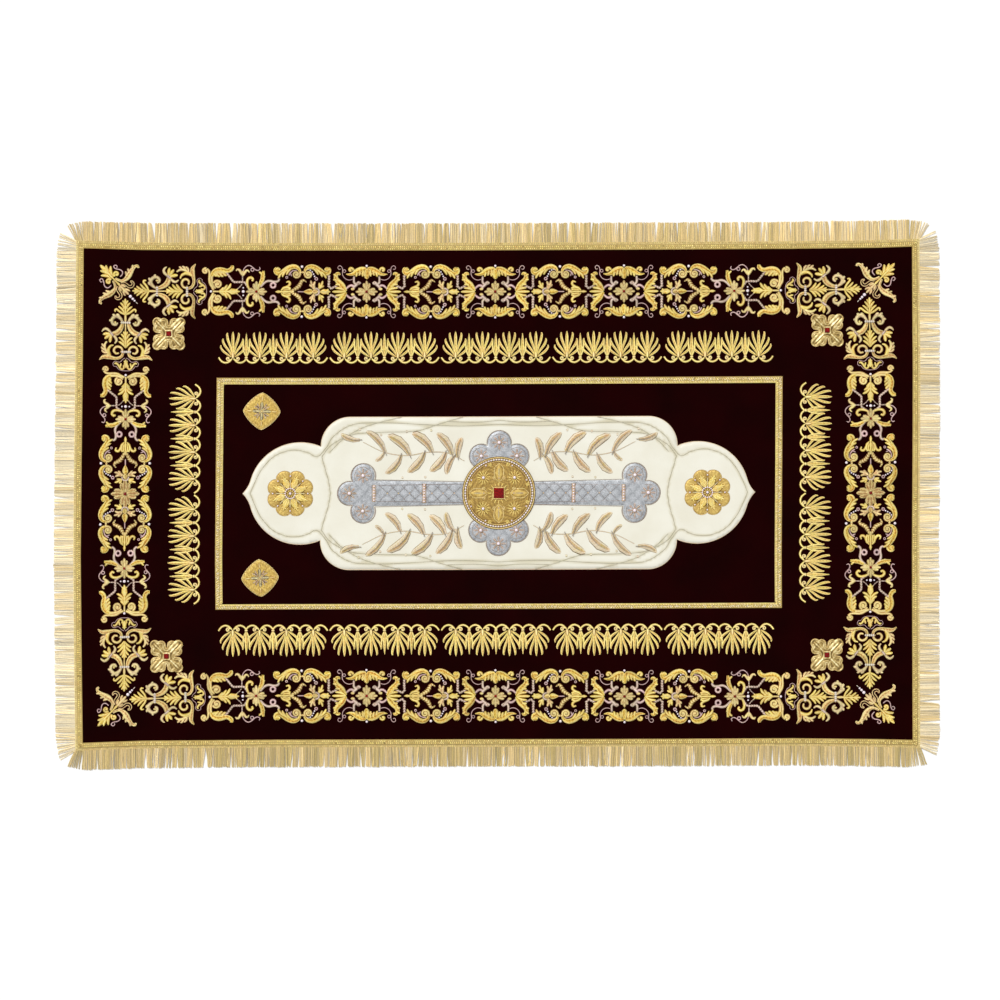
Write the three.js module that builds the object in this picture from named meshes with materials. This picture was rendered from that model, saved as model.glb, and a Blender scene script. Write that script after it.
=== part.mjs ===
// Epitaphios: a burgundy velvet cloth with a gold fringe, gold braids and sewn-on ornaments.
// Millimetres, +Z up. It lies flat and face up on z = 0 with its long side along X.
// The origin is under the middle of the whole cloth, its fringe included.
import * as THREE from 'three';

// ---- Driving dimensions -------------------------------------------------------------------

// The velvet that shows inside the edge braid, and the whole cloth's thickness.
const velvetLength = 1490;
const velvetWidth = 880;
const clothThickness = 3;

// Sewn layers and neighbours stay this far apart.
const seamGap = 0.3;

// The braid along the edge laps over the cloth's edge and over the fringe's head.
const edgeBraidWidth = 11;
const edgeBraidThickness = 1.4;
const edgeBraidLap = 2;

// The fringe: what shows of its woven head, then its strands.
const fringeHeadWidth = 5;
const fringeThickness = 2.4;
const strandLength = 33;

// The braid frame round the centre, by its outer size and its middle.
const frameLength = 1019;
const frameWidth = 417;
const frameBraidWidth = 13.5;
const frameBraidThickness = 1.6;
const frameMiddle = { x: 3.6, y: 2.9 };

// The quatrefoils inside the corners of the border, and their square stones.
const quatrefoilSize = 59;
const quatrefoilThickness = 2.2;
const stoneWidth = 8;
const stoneHeight = 2.6;

// The two lozenges at one end of the centre.
const lozengeSize = 67;
const lozengeThickness = 1.8;

// The centre: a long lobed satin piece, with a budded cross and two rosettes sewn on it, and a
// round medallion with a square stone over the crossing.
const satinLength = 920;
const satinWidth = 276;
const satinBodyLength = 640;
const satinCornerRadius = 52;
const satinLobeRadius = 92;
const satinThickness = 1.4;
const crossLength = 580;
const crossWidth = 226;
const crossArmWidth = 40;
const budRadius = 22;
const crossThickness = 1.3;
const medallionRadius = 66;
const medallionThickness = 1.8;
const medallionStoneWidth = 18;
const medallionStoneHeight = 3.6;
const rosetteRadius = 43;
const rosetteThickness = 1.6;
const rosetteReach = 374;

// How the cloth lies. Between these places its edges run straight, and each place says how far
// the two edges there lie from where a true rectangle has them, along +Y or along +X.
const alongTheLength = [
  { x: -745, far: 2.4, near: -5.4 },
  { x: -640, far: -0.8, near: -1.6 },
  { x: -400, far: -1.9, near: 0.2 },
  { x: -60, far: -1.5, near: 1.0 },
  { x: 300, far: 0.1, near: 1.9 },
  { x: 530, far: 1.4, near: 3.0 },
  { x: 680, far: 3.2, near: 1.4 },
  { x: 745, far: 5.4, near: 0.0 },
];
const acrossTheWidth = [
  { y: -440, left: 0.9, right: 0.7 },
  { y: -290, left: -1.0, right: 0.1 },
  { y: -110, left: -2.7, right: -0.5 },
  { y: 70, left: -0.9, right: 0.5 },
  { y: 215, left: 0.8, right: 0.9 },
  { y: 440, left: 2.7, right: -0.5 },
];

// The four edges, each turned from the far one, with its half length and its distance out.
const edges = [
  { name: 'far', turn: 0, half: velvetLength / 2, reach: velvetWidth / 2 },
  { name: 'right', turn: -90, half: velvetWidth / 2, reach: velvetLength / 2 },
  { name: 'near', turn: 180, half: velvetLength / 2, reach: velvetWidth / 2 },
  { name: 'left', turn: 90, half: velvetWidth / 2, reach: velvetLength / 2 },
];

// Strands lie in clumps. These rows repeat along an edge: a clump's width, how far from the
// head it parts from the clump before it, how wide that parting is at the tips, and how much
// shorter than the longest the clump is.
const clumps = [
  { width: 13, parts: 1.0, opening: 1.6, shorter: 0.4 },
  { width: 17, parts: 3.4, opening: 0.9, shorter: 1.2 },
  { width: 9, parts: 0.6, opening: 3.2, shorter: 0.0 },
  { width: 15, parts: 2.6, opening: 1.2, shorter: 1.8 },
  { width: 11, parts: 1.4, opening: 2.2, shorter: 0.7 },
  { width: 19, parts: 4.2, opening: 1.0, shorter: 0.2 },
  { width: 8, parts: 0.4, opening: 4.2, shorter: 1.5 },
  { width: 14, parts: 2.9, opening: 1.4, shorter: 0.9 },
  { width: 12, parts: 1.2, opening: 2.6, shorter: 0.3 },
];

// The strands next to a corner lie apart and lean over it, from the outermost inwards.
const cornerStrands = [
  { width: 2.2, parts: 0.0, opening: 0.6, lean: 0.52, shorter: 3.5 },
  { width: 2.4, parts: 0.7, opening: 0.8, lean: 0.40, shorter: 1.6 },
  { width: 2.6, parts: 0.2, opening: 0.8, lean: 0.29, shorter: 2.2 },
  { width: 3.4, parts: 0.9, opening: 1.0, lean: 0.19, shorter: 0.8 },
  { width: 5.0, parts: 0.3, opening: 1.2, lean: 0.10, shorter: 0.5 },
  { width: 7.0, parts: 1.3, opening: 1.4, lean: 0.04, shorter: 0.9 },
];

// Where the ornaments are sewn on.
const quatrefoils = [
  { name: 'far_left', x: -591, y: 290 },
  { name: 'far_right', x: 592, y: 293 },
  { name: 'near_left', x: -593, y: -289 },
  { name: 'near_right', x: 592, y: -290 },
];
const lozenges = [
  { name: 'far', x: -423, y: 151, turn: -2 },
  { name: 'near', x: -424, y: -149, turn: 3 },
];

// ---- Worked out from them -----------------------------------------------------------------

const onCloth = clothThickness + seamGap;
const onSatin = onCloth + satinThickness + seamGap;
const onCross = onSatin + crossThickness + seamGap;
const clothEdge = edgeBraidWidth - edgeBraidLap;
const fringeHeadEdge = edgeBraidWidth + fringeHeadWidth;
const mitreSetback = (seamGap / 2) * Math.SQRT2;

// ---- Materials ----------------------------------------------------------------------------

function finish(color, roughness, metalness) {
  return new THREE.MeshStandardMaterial({ color, roughness, metalness });
}

const velvet = finish(0x2a0305, 0.9, 0);
const goldBraid = finish(0xd6bb7e, 0.5, 0.5);
const goldFringe = finish(0xdfc590, 0.6, 0.3);
const goldBrocade = finish(0xbf9f62, 0.45, 0.6);
const silverCloth = finish(0xa0a3a3, 0.5, 0.5);
const creamSatin = finish(0xf3f0e1, 0.6, 0);
const redStone = finish(0xa80d10, 0.15, 0);

// ---- Shapes -------------------------------------------------------------------------------

// The value of a table's column at a place, on a straight line between the rows beside it.
function between(rows, place, at, column) {
  const next = rows.findIndex((row) => row[place] > at);
  const after = next < 0 ? rows.length - 1 : Math.max(next, 1);
  const [low, high] = [rows[after - 1], rows[after]];
  const share = (at - low[place]) / (high[place] - low[place]);
  return THREE.MathUtils.lerp(low[column], high[column], THREE.MathUtils.clamp(share, 0, 1));
}

// A flat point of the cloth, moved to where it lies.
function lie({ x, y }) {
  const toFar = y / velvetWidth + 0.5;
  const toRight = x / velvetLength + 0.5;
  const [near, far] = ['near', 'far'].map((side) => between(alongTheLength, 'x', x, side));
  const [left, right] = ['left', 'right'].map((side) => between(acrossTheWidth, 'y', y, side));
  const shiftX = THREE.MathUtils.lerp(left, right, toRight);
  const shiftY = THREE.MathUtils.lerp(near, far, toFar);
  return new THREE.Vector2(x + shiftX, y + shiftY);
}

// A point on an edge: along it, and out from the velvet's visible edge.
function onEdge(edge, along, out) {
  const point = new THREE.Vector2(along, edge.reach + out);
  return point.rotateAround(new THREE.Vector2(), THREE.MathUtils.degToRad(edge.turn));
}

// The places along an edge, from its left end seen from the middle, where its line bends.
function bends(edge) {
  const places = {
    far: alongTheLength.map((row) => row.x),
    right: acrossTheWidth.map((row) => -row.y),
    near: alongTheLength.map((row) => -row.x),
    left: acrossTheWidth.map((row) => row.y),
  };
  return places[edge.name].slice(1, -1).sort((a, b) => a - b);
}

// The corners of a run along an edge that ends at the same distance on both sides.
function run(edge, end, out) {
  return [-end, ...bends(edge), end].map((along) => onEdge(edge, along, out));
}

// A flat piece of even thickness, cut to an outline.
function cutPiece(points, thickness) {
  const shape = new THREE.Shape(points);
  return new THREE.ExtrudeGeometry(shape, { depth: thickness, bevelEnabled: false });
}

// A closed outline from a distance that depends on the direction.
function outlineAround(distance, count) {
  const points = [];
  for (let i = 0; i < count; i += 1) {
    const angle = (i / count) * 2 * Math.PI;
    const reach = distance(angle);
    points.push(new THREE.Vector2(reach * Math.cos(angle), reach * Math.sin(angle)));
  }
  return points;
}

// How far a ray from the middle runs before it leaves a circle, or 0 where it misses it.
function rayOutOfCircle(angle, circle) {
  const along = circle.x * Math.cos(angle) + circle.y * Math.sin(angle);
  const aside = circle.y * Math.cos(angle) - circle.x * Math.sin(angle);
  const half = circle.r * circle.r - aside * aside;
  return half > 0 && along > 0 ? along + Math.sqrt(half) : 0;
}

// ---- Pieces -------------------------------------------------------------------------------

// The velvet cloth, lined and sewn as one. Its edge is under the edge braid.
function clothPiece() {
  const points = edges.flatMap((edge) => {
    return run(edge, edge.half + clothEdge, clothEdge).slice(0, -1);
  });
  return cutPiece(points.map(lie), clothThickness);
}

// A strip of braid along one edge, mitred at both ends.
function mitredStrip(edge, inner, outer, thickness) {
  const innerEnd = edge.half + inner - mitreSetback;
  const outerEnd = edge.half + outer - mitreSetback;
  const points = [...run(edge, outerEnd, outer), ...run(edge, innerEnd, inner).reverse()];
  return cutPiece(points.map(lie), thickness);
}

// The clumps that fill a length of fringe head, with their widths evened out to fit it.
function clumpsFor(length) {
  const widthOfRows = clumps.reduce((sum, row) => sum + row.width, 0);
  const count = Math.round((length / widthOfRows) * clumps.length);
  const rows = Array.from({ length: count }, (_, i) => clumps[i % clumps.length]);
  const stretch = length / rows.reduce((sum, row) => sum + row.width, 0);
  return rows.map((row) => ({ ...row, width: row.width * stretch, lean: 0 }));
}

// A fringe: one comb along an edge, its woven head behind its strands.
function fringeComb(edge) {
  const inner = clothEdge + seamGap;
  const innerEnd = edge.half + inner - mitreSetback;
  const outerEnd = edge.half + fringeHeadEdge - mitreSetback;
  const cornerWidth = cornerStrands.reduce((sum, row) => sum + row.width, 0);
  const leftCorner = cornerStrands.map((row) => ({ ...row, lean: -row.lean }));
  const rightCorner = [...cornerStrands].reverse();
  const rows = [...leftCorner, ...clumpsFor(2 * (outerEnd - cornerWidth)), ...rightCorner];
  const points = [];
  let root = -outerEnd;
  rows.forEach((row) => {
    const length = strandLength - row.shorter;
    const tip = root + row.lean * length;
    points.push(onEdge(edge, root, fringeHeadEdge + row.parts));
    points.push(onEdge(edge, tip + row.opening / 2, fringeHeadEdge + length));
    points.push(onEdge(edge, tip + row.width - row.opening / 2, fringeHeadEdge + length));
    root += row.width;
  });
  points.push(onEdge(edge, outerEnd, fringeHeadEdge));
  points.push(...run(edge, innerEnd, inner).reverse());
  return cutPiece(points.map(lie), fringeThickness);
}

// A quatrefoil with its petals on the diagonals, each of three lobes.
function quatrefoilPiece() {
  const half = quatrefoilSize / 2;
  const lobes = [
    { x: 0.72 * half, y: 0.72 * half, r: 0.28 * half },
    { x: 0.33 * half, y: 0.68 * half, r: 0.28 * half },
    { x: 0.68 * half, y: 0.33 * half, r: 0.28 * half },
  ];
  const distance = (angle) => {
    const folded = angle % (Math.PI / 2);
    const reaches = lobes.map((lobe) => rayOutOfCircle(folded, lobe));
    return Math.max(0.5 * half, ...reaches);
  };
  return cutPiece(outlineAround(distance, 64), quatrefoilThickness);
}

// A square stone with bevelled shoulders.
function stonePiece(width, height) {
  const corner = width / Math.SQRT2;
  const profile = [
    new THREE.Vector2(0, 0),
    new THREE.Vector2(corner, 0),
    new THREE.Vector2(corner, 0.4 * height),
    new THREE.Vector2(0.62 * corner, height),
    new THREE.Vector2(0, height),
  ];
  const stone = new THREE.LatheGeometry(profile, 4);
  stone.rotateX(Math.PI / 2);
  stone.rotateZ(Math.PI / 4);
  return stone;
}

// A lozenge with full sides.
function lozengePiece() {
  const fullness = 1.33;
  const distance = (angle) => {
    const sum = Math.abs(Math.cos(angle)) ** fullness + Math.abs(Math.sin(angle)) ** fullness;
    return (lozengeSize / 2) * sum ** (-1 / fullness);
  };
  return cutPiece(outlineAround(distance, 48), lozengeThickness);
}

// The satin piece: a long body with round corners, and a pointed lobe at each end.
function satinPiece() {
  const bodyEnd = satinBodyLength / 2;
  const cornerX = bodyEnd - satinCornerRadius;
  const cornerY = satinWidth / 2 - satinCornerRadius;
  const pointLength = 11;
  const lobeX = satinLength / 2 - satinLobeRadius - pointLength;
  const shoulder = 0.3;
  const quarter = new THREE.Path();
  quarter.moveTo(satinLength / 2, 0);
  quarter.quadraticCurveTo(
    satinLength / 2 - pointLength,
    pointLength,
    lobeX + satinLobeRadius * Math.cos(shoulder),
    satinLobeRadius * Math.sin(shoulder),
  );
  const meetsBody = Math.acos((bodyEnd - lobeX) / satinLobeRadius);
  quarter.absarc(lobeX, 0, satinLobeRadius, shoulder, meetsBody, false);
  quarter.absarc(cornerX, cornerY, satinCornerRadius, 0, Math.PI / 2, false);
  const right = quarter.getPoints(6);
  const left = right.map((p) => new THREE.Vector2(-p.x, p.y)).reverse();
  const far = [...right, ...left];
  const near = far.slice(1, -1).map((p) => new THREE.Vector2(p.x, -p.y)).reverse();
  return cutPiece([...far, ...near], satinThickness);
}

// One arm of the cross along +X, from its near inner corner round to its far one. Three equal
// round buds end it: one at its tip and one on each side.
function armOutline(armLength) {
  const back = 1.1 * budRadius;
  const aside = 1.45 * budRadius;
  const tipX = armLength - budRadius;
  const sideX = tipX - back;
  const meet = Math.acos(Math.hypot(back, aside) / 2 / budRadius);
  const slope = Math.atan2(aside, back);
  const neck = THREE.MathUtils.degToRad(200);
  const arm = new THREE.Path();
  arm.moveTo(crossArmWidth / 2, -crossArmWidth / 2);
  arm.absarc(sideX, -aside, budRadius, -neck, slope - meet, false);
  arm.absarc(tipX, 0, budRadius, slope + meet - Math.PI, Math.PI - slope - meet, false);
  arm.absarc(sideX, aside, budRadius, meet - slope, neck, false);
  return arm.getPoints(4);
}

// The budded cross, its long arms along X.
function crossPiece() {
  const armLengths = [crossLength / 2, crossWidth / 2, crossLength / 2, crossWidth / 2];
  const points = armLengths.flatMap((armLength, i) => {
    const middle = new THREE.Vector2();
    return armOutline(armLength).map((p) => p.rotateAround(middle, (i * Math.PI) / 2));
  });
  return cutPiece(points, crossThickness);
}

// A round rosette of eight petals.
function rosettePiece() {
  const petalDepth = 0.16;
  const distance = (angle) => {
    const petal = Math.abs(Math.sin(4 * angle)) ** 0.7;
    return rosetteRadius * (1 - petalDepth + petalDepth * petal);
  };
  return cutPiece(outlineAround(distance, 64), rosetteThickness);
}

// The round medallion.
function medallionPiece() {
  const disc = new THREE.CylinderGeometry(medallionRadius, medallionRadius, medallionThickness, 64);
  disc.rotateX(Math.PI / 2);
  disc.translate(0, 0, medallionThickness / 2);
  return disc;
}

// ---- The epitaphios -----------------------------------------------------------------------

const epitaphios = new THREE.Group();

// Sews a piece on at a place on the cloth and a height.
function sewOn(name, geometry, material, place, height) {
  const mesh = new THREE.Mesh(geometry, material);
  const lying = lie(new THREE.Vector2(place.x, place.y));
  mesh.name = name;
  mesh.position.set(lying.x, lying.y, height);
  mesh.rotation.z = THREE.MathUtils.degToRad(place.turn ?? 0);
  epitaphios.add(mesh);
}

// Adds a piece whose outline is already in its place on the cloth.
function addPiece(name, geometry, material, height) {
  const mesh = new THREE.Mesh(geometry, material);
  mesh.name = name;
  mesh.position.z = height;
  epitaphios.add(mesh);
}

// One side of the braid frame, round the frame's own middle.
function frameStrip(edge) {
  const alongX = edge.turn % 180 === 0;
  const length = alongX ? frameLength : frameWidth;
  const outer = (alongX ? frameWidth : frameLength) / 2;
  const inner = outer - frameBraidWidth;
  const outerEnd = length / 2 - mitreSetback;
  const innerEnd = outerEnd - frameBraidWidth;
  const corners = [
    new THREE.Vector2(-outerEnd, outer),
    new THREE.Vector2(outerEnd, outer),
    new THREE.Vector2(innerEnd, inner),
    new THREE.Vector2(-innerEnd, inner),
  ];
  const turn = THREE.MathUtils.degToRad(edge.turn);
  const points = corners.map((p) => p.rotateAround(new THREE.Vector2(), turn));
  return cutPiece(points, frameBraidThickness);
}

addPiece('velvet_cloth', clothPiece(), velvet, 0);

edges.forEach((edge) => {
  addPiece(`fringe_${edge.name}`, fringeComb(edge), goldFringe, 0);
  const braid = mitredStrip(edge, 0, edgeBraidWidth, edgeBraidThickness);
  addPiece(`edge_braid_${edge.name}`, braid, goldBraid, onCloth);
  sewOn(`frame_braid_${edge.name}`, frameStrip(edge), goldBraid, frameMiddle, onCloth);
});

quatrefoils.forEach((place) => {
  sewOn(`quatrefoil_${place.name}`, quatrefoilPiece(), goldBrocade, place, onCloth);
  const stone = stonePiece(stoneWidth, stoneHeight);
  const seat = onCloth + quatrefoilThickness + seamGap;
  sewOn(`corner_stone_${place.name}`, stone, redStone, place, seat);
});

lozenges.forEach((place) => {
  sewOn(`lozenge_${place.name}`, lozengePiece(), goldBrocade, place, onCloth);
});

sewOn('centre_satin', satinPiece(), creamSatin, frameMiddle, onCloth);
sewOn('centre_cross', crossPiece(), silverCloth, frameMiddle, onSatin);
sewOn('centre_medallion', medallionPiece(), goldBrocade, frameMiddle, onCross);
const centreStone = stonePiece(medallionStoneWidth, medallionStoneHeight);
const centreSeat = onCross + medallionThickness + seamGap;
sewOn('centre_stone', centreStone, redStone, frameMiddle, centreSeat);

[-rosetteReach, rosetteReach].forEach((along) => {
  const place = { x: frameMiddle.x + along, y: frameMiddle.y };
  const side = along < 0 ? 'left' : 'right';
  sewOn(`rosette_${side}`, rosettePiece(), goldBrocade, place, onSatin);
});

// The origin goes under the middle of the whole cloth.
const middle = new THREE.Box3().setFromObject(epitaphios).getCenter(new THREE.Vector3());
epitaphios.position.set(-middle.x, -middle.y, 0);

export default epitaphios;
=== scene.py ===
# %% [markdown]
# An epitaphios: a long burgundy velvet cloth, worked in raised gold and silver thread, with a
# gold fringe. It lies flat and face up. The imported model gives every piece's place, so this
# script only adds what the eye sees: pile, thread, beads, braid and the strands of the fringe.

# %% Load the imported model
import math

import bpy
import numpy as np
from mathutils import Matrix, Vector
from mathutils.geometry import delaunay_2d_cdt


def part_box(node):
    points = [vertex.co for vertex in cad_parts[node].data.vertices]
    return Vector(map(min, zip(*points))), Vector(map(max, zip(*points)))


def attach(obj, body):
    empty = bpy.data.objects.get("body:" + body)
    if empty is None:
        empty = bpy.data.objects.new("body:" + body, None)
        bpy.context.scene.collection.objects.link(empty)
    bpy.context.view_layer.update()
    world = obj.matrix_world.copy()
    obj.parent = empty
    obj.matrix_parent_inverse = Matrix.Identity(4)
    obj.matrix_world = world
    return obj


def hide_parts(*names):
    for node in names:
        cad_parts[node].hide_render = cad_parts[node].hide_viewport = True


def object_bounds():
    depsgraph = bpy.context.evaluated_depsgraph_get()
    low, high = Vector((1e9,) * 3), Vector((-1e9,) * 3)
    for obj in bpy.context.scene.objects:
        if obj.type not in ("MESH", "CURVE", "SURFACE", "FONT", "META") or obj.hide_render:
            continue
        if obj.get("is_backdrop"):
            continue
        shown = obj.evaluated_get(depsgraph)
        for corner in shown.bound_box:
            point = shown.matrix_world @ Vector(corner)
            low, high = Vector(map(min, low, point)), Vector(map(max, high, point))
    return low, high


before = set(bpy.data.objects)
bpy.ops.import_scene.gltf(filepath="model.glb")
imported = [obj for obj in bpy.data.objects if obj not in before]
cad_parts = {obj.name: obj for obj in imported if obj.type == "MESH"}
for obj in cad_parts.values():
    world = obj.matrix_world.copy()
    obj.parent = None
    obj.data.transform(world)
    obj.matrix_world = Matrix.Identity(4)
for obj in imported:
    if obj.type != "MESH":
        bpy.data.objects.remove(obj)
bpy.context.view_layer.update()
MM = 0.001
print("and the packed model has", len(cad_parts), "pieces")

# %% [markdown]
# The real cloth is never quite square: each edge wanders by a few millimetres. The same small
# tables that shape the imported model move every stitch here, so the work stays in step with its
# edges. One function does it for any point, which is simpler than bending the finished mesh.

# %% How the cloth lies
VELVET_LENGTH = 1490
VELVET_WIDTH = 880
FRAME_MIDDLE = np.array([3.6, 2.9])
ALONG = (-745, -640, -400, -60, 300, 530, 680, 745)
FAR_SHIFT = (2.4, -0.8, -1.9, -1.5, 0.1, 1.4, 3.2, 5.4)
NEAR_SHIFT = (-5.4, -1.6, 0.2, 1.0, 1.9, 3.0, 1.4, 0.0)
ACROSS = (-440, -290, -110, 70, 215, 440)
LEFT_SHIFT = (0.9, -1.0, -2.7, -0.9, 0.8, 2.7)
RIGHT_SHIFT = (0.7, 0.1, -0.5, 0.5, 0.9, -0.5)


def lie(points):
    """Flat points of the cloth, in millimetres, moved to where they lie."""
    x, y = points[:, 0], points[:, 1]
    right = x / VELVET_LENGTH + 0.5
    far = y / VELVET_WIDTH + 0.5
    shift_x = np.interp(y, ACROSS, LEFT_SHIFT) * (1 - right) + np.interp(y, ACROSS, RIGHT_SHIFT) * right
    shift_y = np.interp(x, ALONG, NEAR_SHIFT) * (1 - far) + np.interp(x, ALONG, FAR_SHIFT) * far
    return np.column_stack([x + shift_x, y + shift_y])


low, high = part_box("centre_stone")
ORIGIN = lie(FRAME_MIDDLE[None])[0] - np.array(((low + high) / 2)[:2]) / MM
print("the packed model is centred by", ORIGIN.round(2), "mm")

# %% [markdown]
# Velvet that carries heavy work isn't flat like paper. It has long shallow waves, and it puckers
# a little where the stitches pull. A sum of a few sine waves is enough, and every other piece
# asks the same function for its height, so nothing floats or sinks.

# %% The height of the ground
CLOTH_TOP = 3.0
WAVES = [
    # crests per metre along X and Y, phase, height in mm
    (1.3, 0.7, 0.4, 0.16),
    (-2.1, 3.2, 1.9, 0.12),
    (4.6, 1.4, 3.3, 0.07),
    (6.8, -7.7, 0.9, 0.05),
    (-11.0, 9.0, 2.2, 0.03),
]


def ground(points):
    """The height of the velvet's top at flat points, in millimetres."""
    height = np.full(len(points), CLOTH_TOP - 0.2)
    for along, across, phase, size in WAVES:
        turn = 2 * math.pi * (along * points[:, 0] + across * points[:, 1]) / 1000
        height += size * np.sin(turn + phase)
    return height


def in_place(points, above):
    """Flat points and heights above the velvet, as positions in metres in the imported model."""
    return np.column_stack([lie(points) - ORIGIN, ground(points) + above]) * MM


heights = ground(np.array([[x, y] for x in (-700, 0, 700) for y in (-400, 0, 400)]))
print("the velvet's top runs from", heights.min().round(2), "to", heights.max().round(2), "mm")

# %% [markdown]
# Colours are written as a dyer would match them, in eight-bit steps, and turned into the linear
# values that a shader needs. Small helpers add a node with its settings and links in one call. A
# Value stands for a number that nodes work out, so that a formula below reads like one.

# %% Colours and node helpers
def dye(*steps):
    """A colour in eight-bit steps as the shader's linear colour."""
    linear = []
    for share in (step / 255 for step in steps):
        linear.append(share / 12.92 if share <= 0.04045 else ((share + 0.055) / 1.055) ** 2.4)
    return (*linear, 1.0)


class Value:
    """A number that nodes work out. A sum with it adds the node for that sum."""

    def __init__(self, socket):
        self.socket = socket

    def __add__(self, other):
        return calc("ADD", self, other)

    def __sub__(self, other):
        return calc("SUBTRACT", self, other)

    def __rsub__(self, other):
        return calc("SUBTRACT", other, self)

    def __mul__(self, other):
        return calc("MULTIPLY", self, other)

    def __truediv__(self, other):
        return calc("DIVIDE", self, other)

    def __pow__(self, other):
        return calc("POWER", self, other)


def fill(socket, value):
    """Links a socket to a value, or sets it."""
    value = getattr(value, "socket", value)
    if isinstance(value, bpy.types.NodeSocket):
        socket.id_data.links.new(value, socket)
    else:
        socket.default_value = value


def add_node(tree, kind, inputs=None, **settings):
    """A new node with its settings made and its inputs filled."""
    node = tree.nodes.new(kind)
    for name, value in settings.items():
        setattr(node, name, value)
    for name, value in (inputs or {}).items():
        fill(node.inputs[name], value)
    return node


def calc(operation, *numbers):
    """A sum of numbers, of which at least one is a Value."""
    tree = next(number.socket.id_data for number in numbers if isinstance(number, Value))
    return Value(add_node(tree, "ShaderNodeMath", dict(enumerate(numbers)), operation=operation).outputs[0])


def noise(tree, vector, scale, detail=2.0, roughness=0.5):
    inputs = {"Vector": vector, "Scale": scale, "Detail": detail, "Roughness": roughness}
    return Value(add_node(tree, "ShaderNodeTexNoise", inputs).outputs["Fac"])


def between(value, low, high, smooth=False):
    """A value's share of the way from low to high, kept between 0 and 1."""
    inputs = {"Value": value, "From Min": low, "From Max": high}
    kind = "SMOOTHSTEP" if smooth else "LINEAR"
    node = add_node(value.socket.id_data, "ShaderNodeMapRange", inputs, interpolation_type=kind)
    return Value(node.outputs[0])


def mix(tree, share, first, second, blend="MIX"):
    """A colour between two others."""
    node = add_node(tree, "ShaderNodeMix", data_type="RGBA", blend_type=blend)
    for socket, value in ((0, share), (6, first), (7, second)):
        fill(node.inputs[socket], value)
    return node.outputs[2]


def scaled(tree, colour, share):
    return add_node(tree, "ShaderNodeVectorMath", {0: colour, "Scale": share}, operation="SCALE").outputs[0]


def attribute(tree, name, part="Fac"):
    return Value(add_node(tree, "ShaderNodeAttribute", attribute_name=name).outputs[part])


def object_place(tree):
    return tree.nodes.new("ShaderNodeTexCoord").outputs["Object"]


def new_material(name):
    """An empty node material's tree and its output socket."""
    material = bpy.data.materials.new(name)
    material.use_nodes = True
    material.node_tree.nodes.clear()
    return material, material.node_tree, material.node_tree.nodes.new("ShaderNodeOutputMaterial").inputs[0]


def surface(name, build, **sockets):
    """A material from one Principled shader. build fills what varies, and sockets set the rest."""
    material, tree, output = new_material(name)
    shader = tree.nodes.new("ShaderNodeBsdfPrincipled")
    fill(output, shader.outputs[0])
    for label, value in sockets.items():
        shader.inputs[label.replace("_", " ")].default_value = value
    build(tree, shader)
    return material


def dress(shader, colour, height, depth, strength=1.0):
    """Fills a shader's colour, and a bump of a depth in mm."""
    fill(shader.inputs["Base Color"], colour)
    inputs = {"Height": height, "Distance": depth * MM, "Strength": strength}
    fill(shader.inputs["Normal"], add_node(shader.id_data, "ShaderNodeBump", inputs).outputs[0])


def clouded(name, scale, dark, light, depth, roughness=0.5, **sockets):
    """A material whose colour clouds between two others."""
    def build(tree, shader):
        cloud = noise(tree, object_place(tree), scale, 2.0, roughness)
        dress(shader, mix(tree, between(cloud, 0.3, 0.7), dark, light), cloud, depth)

    return surface(name, build, **sockets)


def group(name, inputs, outputs):
    """A new shader node group, the Values of its inputs by name, and its output sockets."""
    tree = bpy.data.node_groups.new(name, "ShaderNodeTree")
    for label, kind, value in inputs:
        tree.interface.new_socket(label, in_out="INPUT", socket_type=kind).default_value = value
    for label, kind in outputs:
        tree.interface.new_socket(label, in_out="OUTPUT", socket_type=kind)
    given = {socket.name: Value(socket) for socket in tree.nodes.new("NodeGroupInput").outputs}
    return tree, given, tree.nodes.new("NodeGroupOutput").inputs


print("a mid gold is", [round(part, 3) for part in dye(205, 175, 95)[:3]])

# %% [markdown]
# The view is from straight above, as a cloth is shown in a catalogue. A long lens far away keeps
# the edges parallel. One low sun-like lamp from the upper left brings out the relief, and an even
# sky fills the shadows. Together they light a level surface at strength one, so that a colour
# renders about as it is written.

# %% Camera, light and floor
CAMERA_HEIGHT = 8.0
VIEW_WIDTH = 1.7964
SENSOR = 36.0
SKY = 0.52
LAMP = 1.95
FLOOR_REACH = 30
FLOOR_DEPTH = 0.0002

scene = bpy.context.scene


def linked(name, data):
    """A new object in the scene."""
    made = bpy.data.objects.new(name, data)
    scene.collection.objects.link(made)
    return made


camera = linked("camera", bpy.data.cameras.new("camera"))
camera.location = (0.00585, -0.00945, CAMERA_HEIGHT)
camera.data.sensor_width = SENSOR
camera.data.lens = SENSOR * CAMERA_HEIGHT / VIEW_WIDTH
camera.data.clip_end = 100
scene.camera = camera
scene.view_settings.view_transform = "Standard"

lamp = linked("lamp", bpy.data.lights.new("lamp", "SUN"))
lamp.data.energy = LAMP
lamp.data.angle = math.radians(14)
lamp.rotation_euler = (math.radians(38), 0, math.radians(215))


def seen_directly(tree):
    """A value of 1 for rays from the eye, and for those through a gloss or glass."""
    path = tree.nodes.new("ShaderNodeLightPath").outputs
    seen = calc("MAXIMUM", Value(path["Is Camera Ray"]), path["Is Glossy Ray"])
    return calc("MAXIMUM", seen, path["Is Transmission Ray"])


world = bpy.data.worlds.new("sky")
scene.world = world
world.use_nodes = True
sky = world.node_tree.nodes["Background"].inputs
fill(sky["Strength"], seen_directly(world.node_tree) * (1 - SKY) + SKY)
sky["Color"].default_value = (1, 1, 1, 1)

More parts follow.
